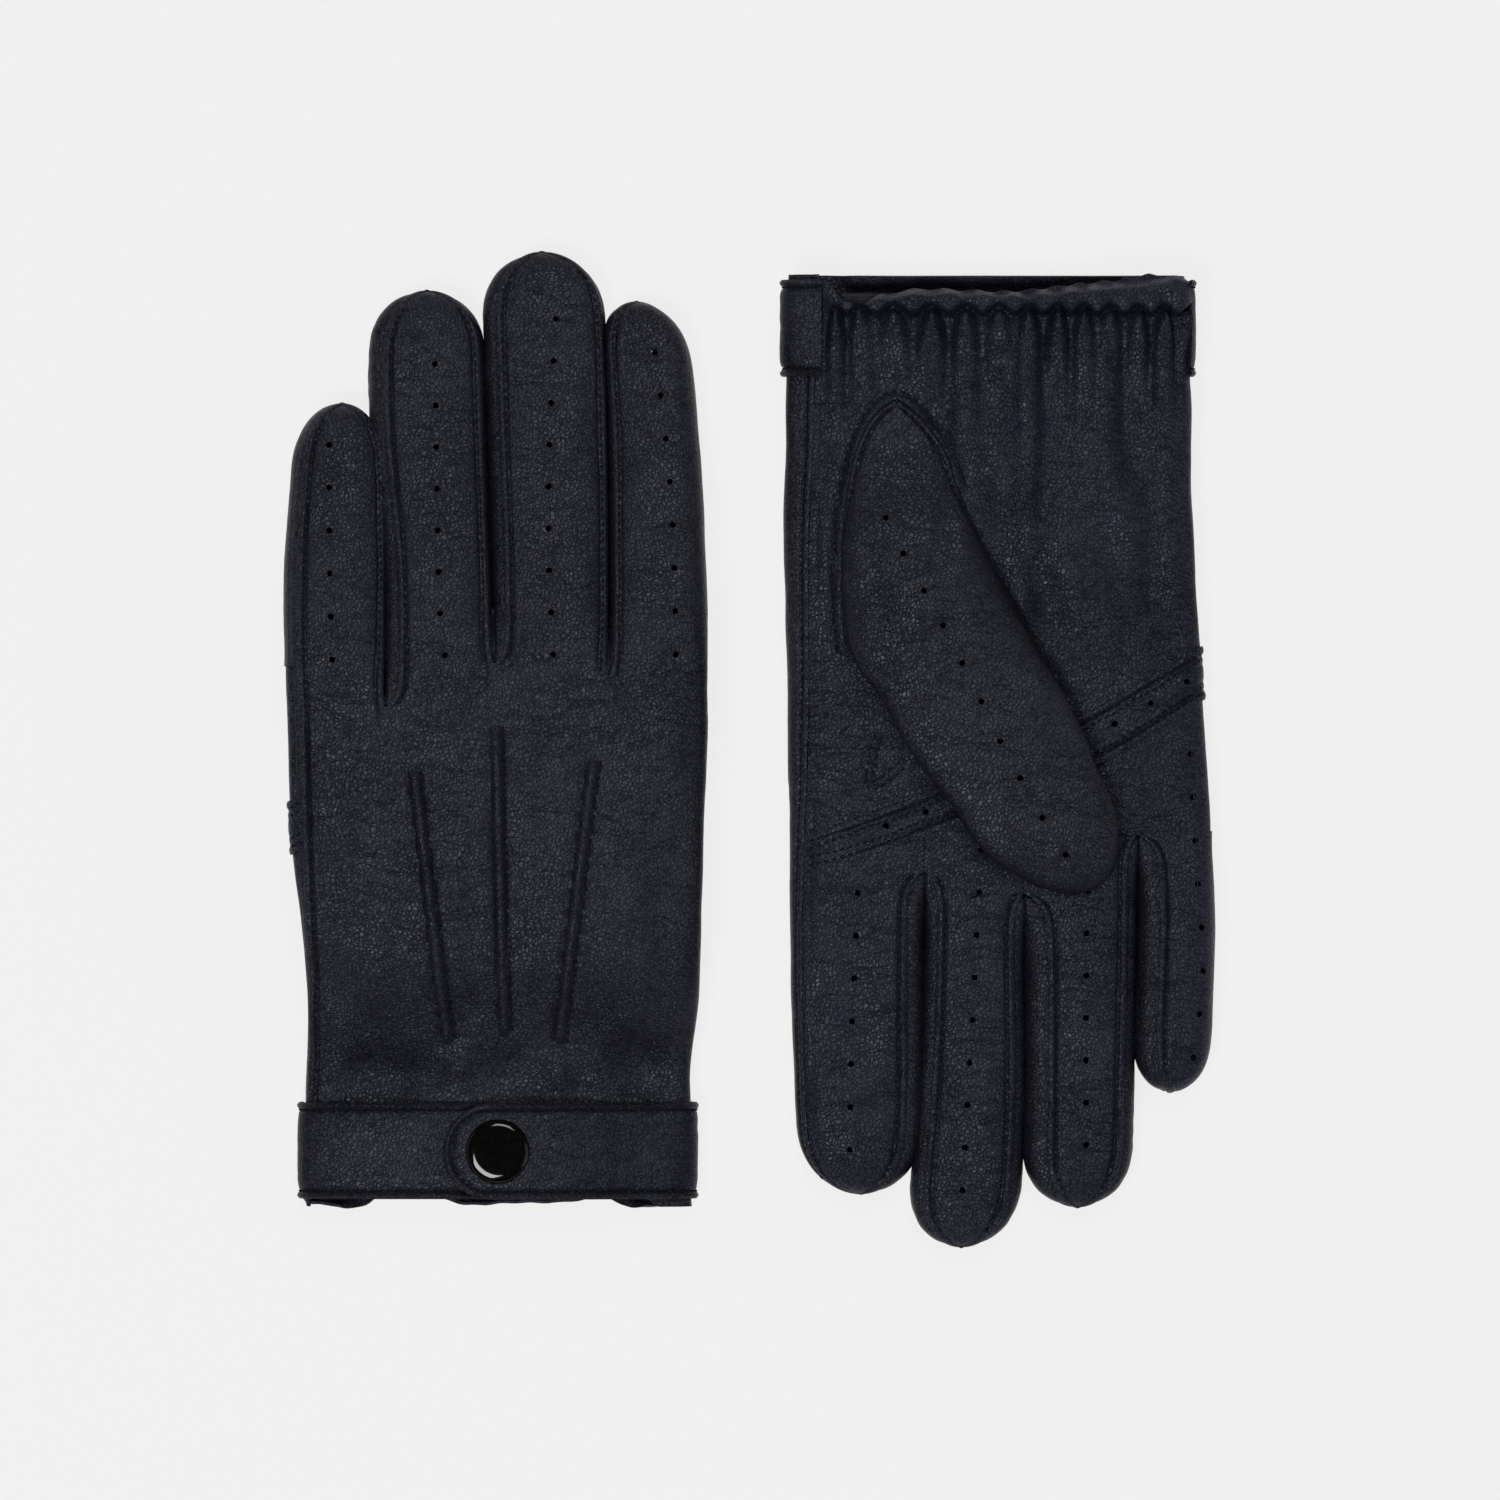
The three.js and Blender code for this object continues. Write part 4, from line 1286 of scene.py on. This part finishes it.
# Half profile of the snap's cap: radius, and height over its rim
CAP_PROFILE = (
    (0.02, 1.5), (2, 1.5), (4, 1.485), (5.3, 1.44), (6.1, 1.36), (6.6, 1.22),
    (7.0, 0.95), (7.3, 0.55), (7.5, 0.1), (7.42, -0.1), (7.1, -0.25), (6.6, -0.3),
)
CAP_SIDES = 96


def snap_cap(glove):
    """The domed cap, turned from its half profile."""
    low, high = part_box(f"{glove.side}_snap_cap")
    top = (high[2] if glove.turn > 0 else -low[2]) / MM
    turn = np.linspace(0, 2 * math.pi, CAP_SIDES, endpoint=False)
    radius, height = np.array(CAP_PROFILE).T[:, :, None]
    u = glove.cap_at[0] + radius * np.cos(turn)
    v = glove.cap_at[1] + radius * np.sin(turn)
    z = np.repeat(height + (top - CAP_PROFILE[0][1]), CAP_SIDES, axis=1)
    points = np.stack([u, v, z], axis=-1).reshape(-1, 3)
    faces = ring_faces(len(CAP_PROFILE), CAP_SIDES)[:, ::-1]
    made = make_object(f"{glove.side}_domed_cap", glove, points, faces, ENAMEL, 40)
    return made


# ---- Stitches ----


def inset_path(sheet, axis, end, inset):
    """A line at a distance in from one edge of a sheet: axis 1 for its first or last column, 0 for a row."""
    grids = []
    for grid in (sheet.points, sheet.normals):
        grid = grid.transpose(1, 0, 2) if axis == 0 else grid
        grids.append(grid[:, ::-1][:, :20] if end else grid[:, :20])
    arcs = edge_distance(grids[0])[0]
    return [
        np.array([[np.interp(inset, arc, line[:, k]) for k in range(3)] for arc, line in zip(arcs, grid)])
        for grid in grids
    ]


def stitches_on(sheet, path):
    """Stitches along a path of (u, v) places, laid onto the nearest points of a sheet."""
    flat = sheet.points.reshape(-1, 3)
    nearest = [int(np.argmin((flat[:, 0] - u) ** 2 + (flat[:, 1] - v) ** 2)) for u, v in path]
    where = flat[nearest]
    where[:, :2] = path
    return stitches_along(where, sheet.normals.reshape(-1, 3)[nearest])


def stitched(name, glove, parts):
    vertices, faces = joined(parts)
    made = make_object(f"{glove.side}_{name}_stitches", glove, vertices, faces, THREAD, 60)
    return made


def between(low, high):
    """A test for the points of a path whose v lies between two values."""

    def test(where):
        return (where[:, 1] > low) & (where[:, 1] < high)

    return test


def edge_stitches(sheet, edges, inset=STITCH_INSET, keep=None):
    """Rows of stitches along some of a sheet's edges, as (axis, end) pairs."""
    parts = []
    for axis, end in edges:
        where, up = inset_path(sheet, axis, end, inset)
        if keep is not None:
            chosen = keep(where)
            where, up = where[chosen], up[chosen]
        parts.append(stitches_along(where, up))
    return parts


def offset_path(path, by):
    """A (u, v) path moved sideways."""
    ahead = np.gradient(path, axis=0)
    ahead /= np.linalg.norm(ahead, axis=1, keepdims=True)
    return path + np.stack([ahead[:, 1], -ahead[:, 0]], axis=1) * by


# ---- Assembly of one glove ----

# v at which each finger's bend would start and end; their points are worked out, but the fingers are not bent
FINGER_BENDS = {
    "little": (126.6, 148.0),
    "ring": (140.4, 161.0),
    "middle": (140.4, 160.0),
    "index": (135.6, 156.0),
}
THUMB_HINGE = (-46.64, -24.46)  # in the frame's directions, from its origin
THUMB_WAY = (-0.3814, 0.9244)  # from the hinge along the thumb
BELOW_ALL = -99  # a v below every stitch


FINGER_PANELS = {
    "back": ("back", BACK_LEATHER),
    "front": ("front", PALM_LEATHER),
    "left": ("fourchette_little_side", SHADED_FOURCHETTE_LEATHER),
    "right": ("fourchette_index_side", SHADED_FOURCHETTE_LEATHER),
}


def finger_thread(finger, kind, sheet):
    """Stitches along the seams of a finger's back or front, from each crotch to the tip."""
    crotches, ends = (finger.crotch_back, (1, 0)) if kind == "back" else (finger.crotch_palm, (0, 1))
    thread = []
    for crotch, end in zip(crotches, ends):
        if crotch is None and kind == "front":
            continue
        low = BELOW_ALL if crotch is None else crotch + 0.8
        thread += edge_stitches(sheet, [(1, end)], keep=between(low, finger.tip - 3.0))
    return thread


def build_finger(glove, finger):
    side, name = glove.side, finger.name
    made, thread = [], []
    for kind, (label, material) in FINGER_PANELS.items():
        if kind == finger.outer:
            continue
        if kind in ("back", "front"):
            sheet = finger_face(glove, finger, kind)
            thread += finger_thread(finger, kind, sheet)
        else:
            sheet = fourchette(glove, finger, kind)
        piece = leather_piece(f"{name}_{label}", glove, sheet, material)
        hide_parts(f"{side}_{name}_{label}")
        made.append(piece)
    made.append(stitched(name, glove, thread))
    first, last = FINGER_BENDS[name]
    start, end = glove.world([[0, first, 0], [0, last, 0]])
    for piece in made:
        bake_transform(piece)


def clear_of_sides(where):
    """Which points of the palm band's seams lie on its flat face, short of the glove's edges."""
    return (where[:, 0] > where[:, 0].min() + 0.7) & (where[:, 0] < where[:, 0].max() - 0.7)


def hand_thread(back, heel, band):
    """Stitches of the back's outer seams, the palm's band, the pintucks, and the thumb's tack and rim."""
    thread = edge_stitches(back, [(1, 0), (1, 1)])
    for inset in BAND_ROWS:
        thread += edge_stitches(band, [(0, 0), (0, 1)], inset, clear_of_sides)
    for tuck in PINTUCKS:
        thread.append(stitches_on(back, offset_path(dense_path(tuck), -TUCK_STITCH)))
    for by in (-0.9, 0.9):
        thread.append(stitches_on(heel, offset_path(dense_path(THUMB_TACK), by)))
    thread.append(stitches_on(heel, offset_path(dense_path(THUMB_EDGE), -1.5)))
    return thread


def build_hand(glove):
    side = glove.side
    back, heel, band, front = hand_back(glove), palm_heel(glove), palm_band(glove), palm_front(glove)
    sheets = {"back": back, "palm_heel": heel, "palm_band": band, "palm_front": front}
    for name, sheet in sheets.items():
        piece = leather_piece(name, glove, sheet, BACK_LEATHER if name == "back" else PALM_LEATHER)
        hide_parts(f"{side}_{name}")
        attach(piece, f"{side}_hand")
    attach(stitched("hand", glove, hand_thread(back, heel, band)), f"{side}_hand")


def build_thumb(glove):
    side = glove.side
    outer = thumb_sheet(glove, -14, 194, 0.3, THUMB_HOLES)
    inner = thumb_sheet(glove, 182, 358, 52.0, [], 0.5)
    cover = leather_piece("thumb_outer", glove, outer, BACK_LEATHER)
    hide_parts(f"{side}_thumb_base", f"{side}_thumb_outer")
    lining = leather_piece("thumb_inner", glove, inner, PALM_LEATHER)
    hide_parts(f"{side}_thumb_inner")
    rows = edge_stitches(outer, [(1, 0), (1, 1)], 2.6, between(BELOW_ALL, 92))
    thread = stitched("thumb", glove, rows)
    hinge = np.array([THUMB_HINGE[0] - glove.x0, THUMB_HINGE[1] - glove.y0, 0])
    way = np.array([*THUMB_WAY, 0])
    start, end = glove.world([hinge - 9 * way, hinge + 14 * way])
    for piece in (cover, lining, thread):
        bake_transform(piece)


def build_strap(glove):
    side = glove.side
    outer, outer_edge = strap_sheet(glove, True)
    inner, inner_edge = strap_sheet(glove, False)
    tab = leather_piece("strap_outer", glove, outer, STRAP_LEATHER)
    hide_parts(f"{side}_strap_anchor", f"{side}_strap_tab")
    under = leather_piece("strap_inner", glove, inner, STRAP_LEATHER)
    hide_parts(f"{side}_strap_inner")
    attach(under, f"{side}_hand")
    inner_thread = stitched("strap_inner", glove, [contour_stitches(inner, inner_edge, STRAP_INSET)])
    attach(inner_thread, f"{side}_hand")
    outer_thread = stitched("strap_outer", glove, [contour_stitches(outer, outer_edge, STRAP_INSET)])
    start, end = glove.world([[41.0, 0, 0], [30.0, 0, 0]])
    for piece in (tab, outer_thread):
        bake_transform(piece)
    cap = snap_cap(glove)
    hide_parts(f"{side}_snap_cap")
    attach(cap, f"{side}_strap_tab")


def dress(node, material):
    """Gives a CAD node that stays in view its finish."""
    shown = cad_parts[node]
    shown.data.materials.clear()
    shown.data.materials.append(material)


for glove in (left_glove(), right_glove()):
    build_hand(glove)
    for finger in glove.fingers.values():
        build_finger(glove, finger)
    build_thumb(glove)
    build_strap(glove)
    dress(f"{glove.side}_wrist_elastic", ELASTIC)
    for part in ("snap_socket", "snap_stud", "snap_post"):
        dress(f"{glove.side}_{part}", METAL)


# ---- Floor, light and camera ----

FLOOR_AT = -0.00005
CAMERA_HEIGHT = 2.51
VIEW_DISTANCE = 2.5  # from the camera to the gloves' upper faces
VIEW_WIDTH = 0.3489  # what the camera sees there


def floor():
    mesh = bpy.data.meshes.new("floor")
    corners = [(-3, -3, FLOOR_AT), (3, -3, FLOOR_AT), (3, 3, FLOOR_AT), (-3, 3, FLOOR_AT)]
    mesh.from_pydata(corners, [], [(0, 1, 2, 3)])
    mesh.materials.append(floor_material())
    add_object("floor", mesh)


def softbox(name, place, size, watts):
    """A square light that faces the gloves."""
    light = bpy.data.lights.new(name, "AREA")
    light.size = size
    light.energy = watts
    made = add_object(name, light)
    made.location = place
    made.rotation_euler = (-Vector(place)).to_track_quat("-Z", "Y").to_euler()


def studio():
    world = bpy.data.worlds.new("studio")
    world.use_nodes = True
    background = world.node_tree.nodes["Background"]
    background.inputs["Color"].default_value = (1, 1, 1, 1)
    background.inputs["Strength"].default_value = 0.03
    bpy.context.scene.world = world
    bpy.context.scene.view_settings.view_transform = "Standard"
    softbox("key", (-0.55, -0.75, 2.1), 0.8, 23)
    softbox("top_fill", (0.15, 1.05, 2.0), 0.9, 15)
    softbox("side_fill", (1.8, -0.4, 1.1), 1.6, 4)


def camera():
    """Straight above the pair, with the lens that fits the width of view into the sensor."""
    lens = bpy.data.cameras.new("above")
    lens.lens = lens.sensor_width * VIEW_DISTANCE / VIEW_WIDTH
    lens.clip_end = 20
    made = add_object("above", lens)
    made.location = (0, 0, CAMERA_HEIGHT)
    bpy.context.scene.camera = made


floor()
studio()
camera()
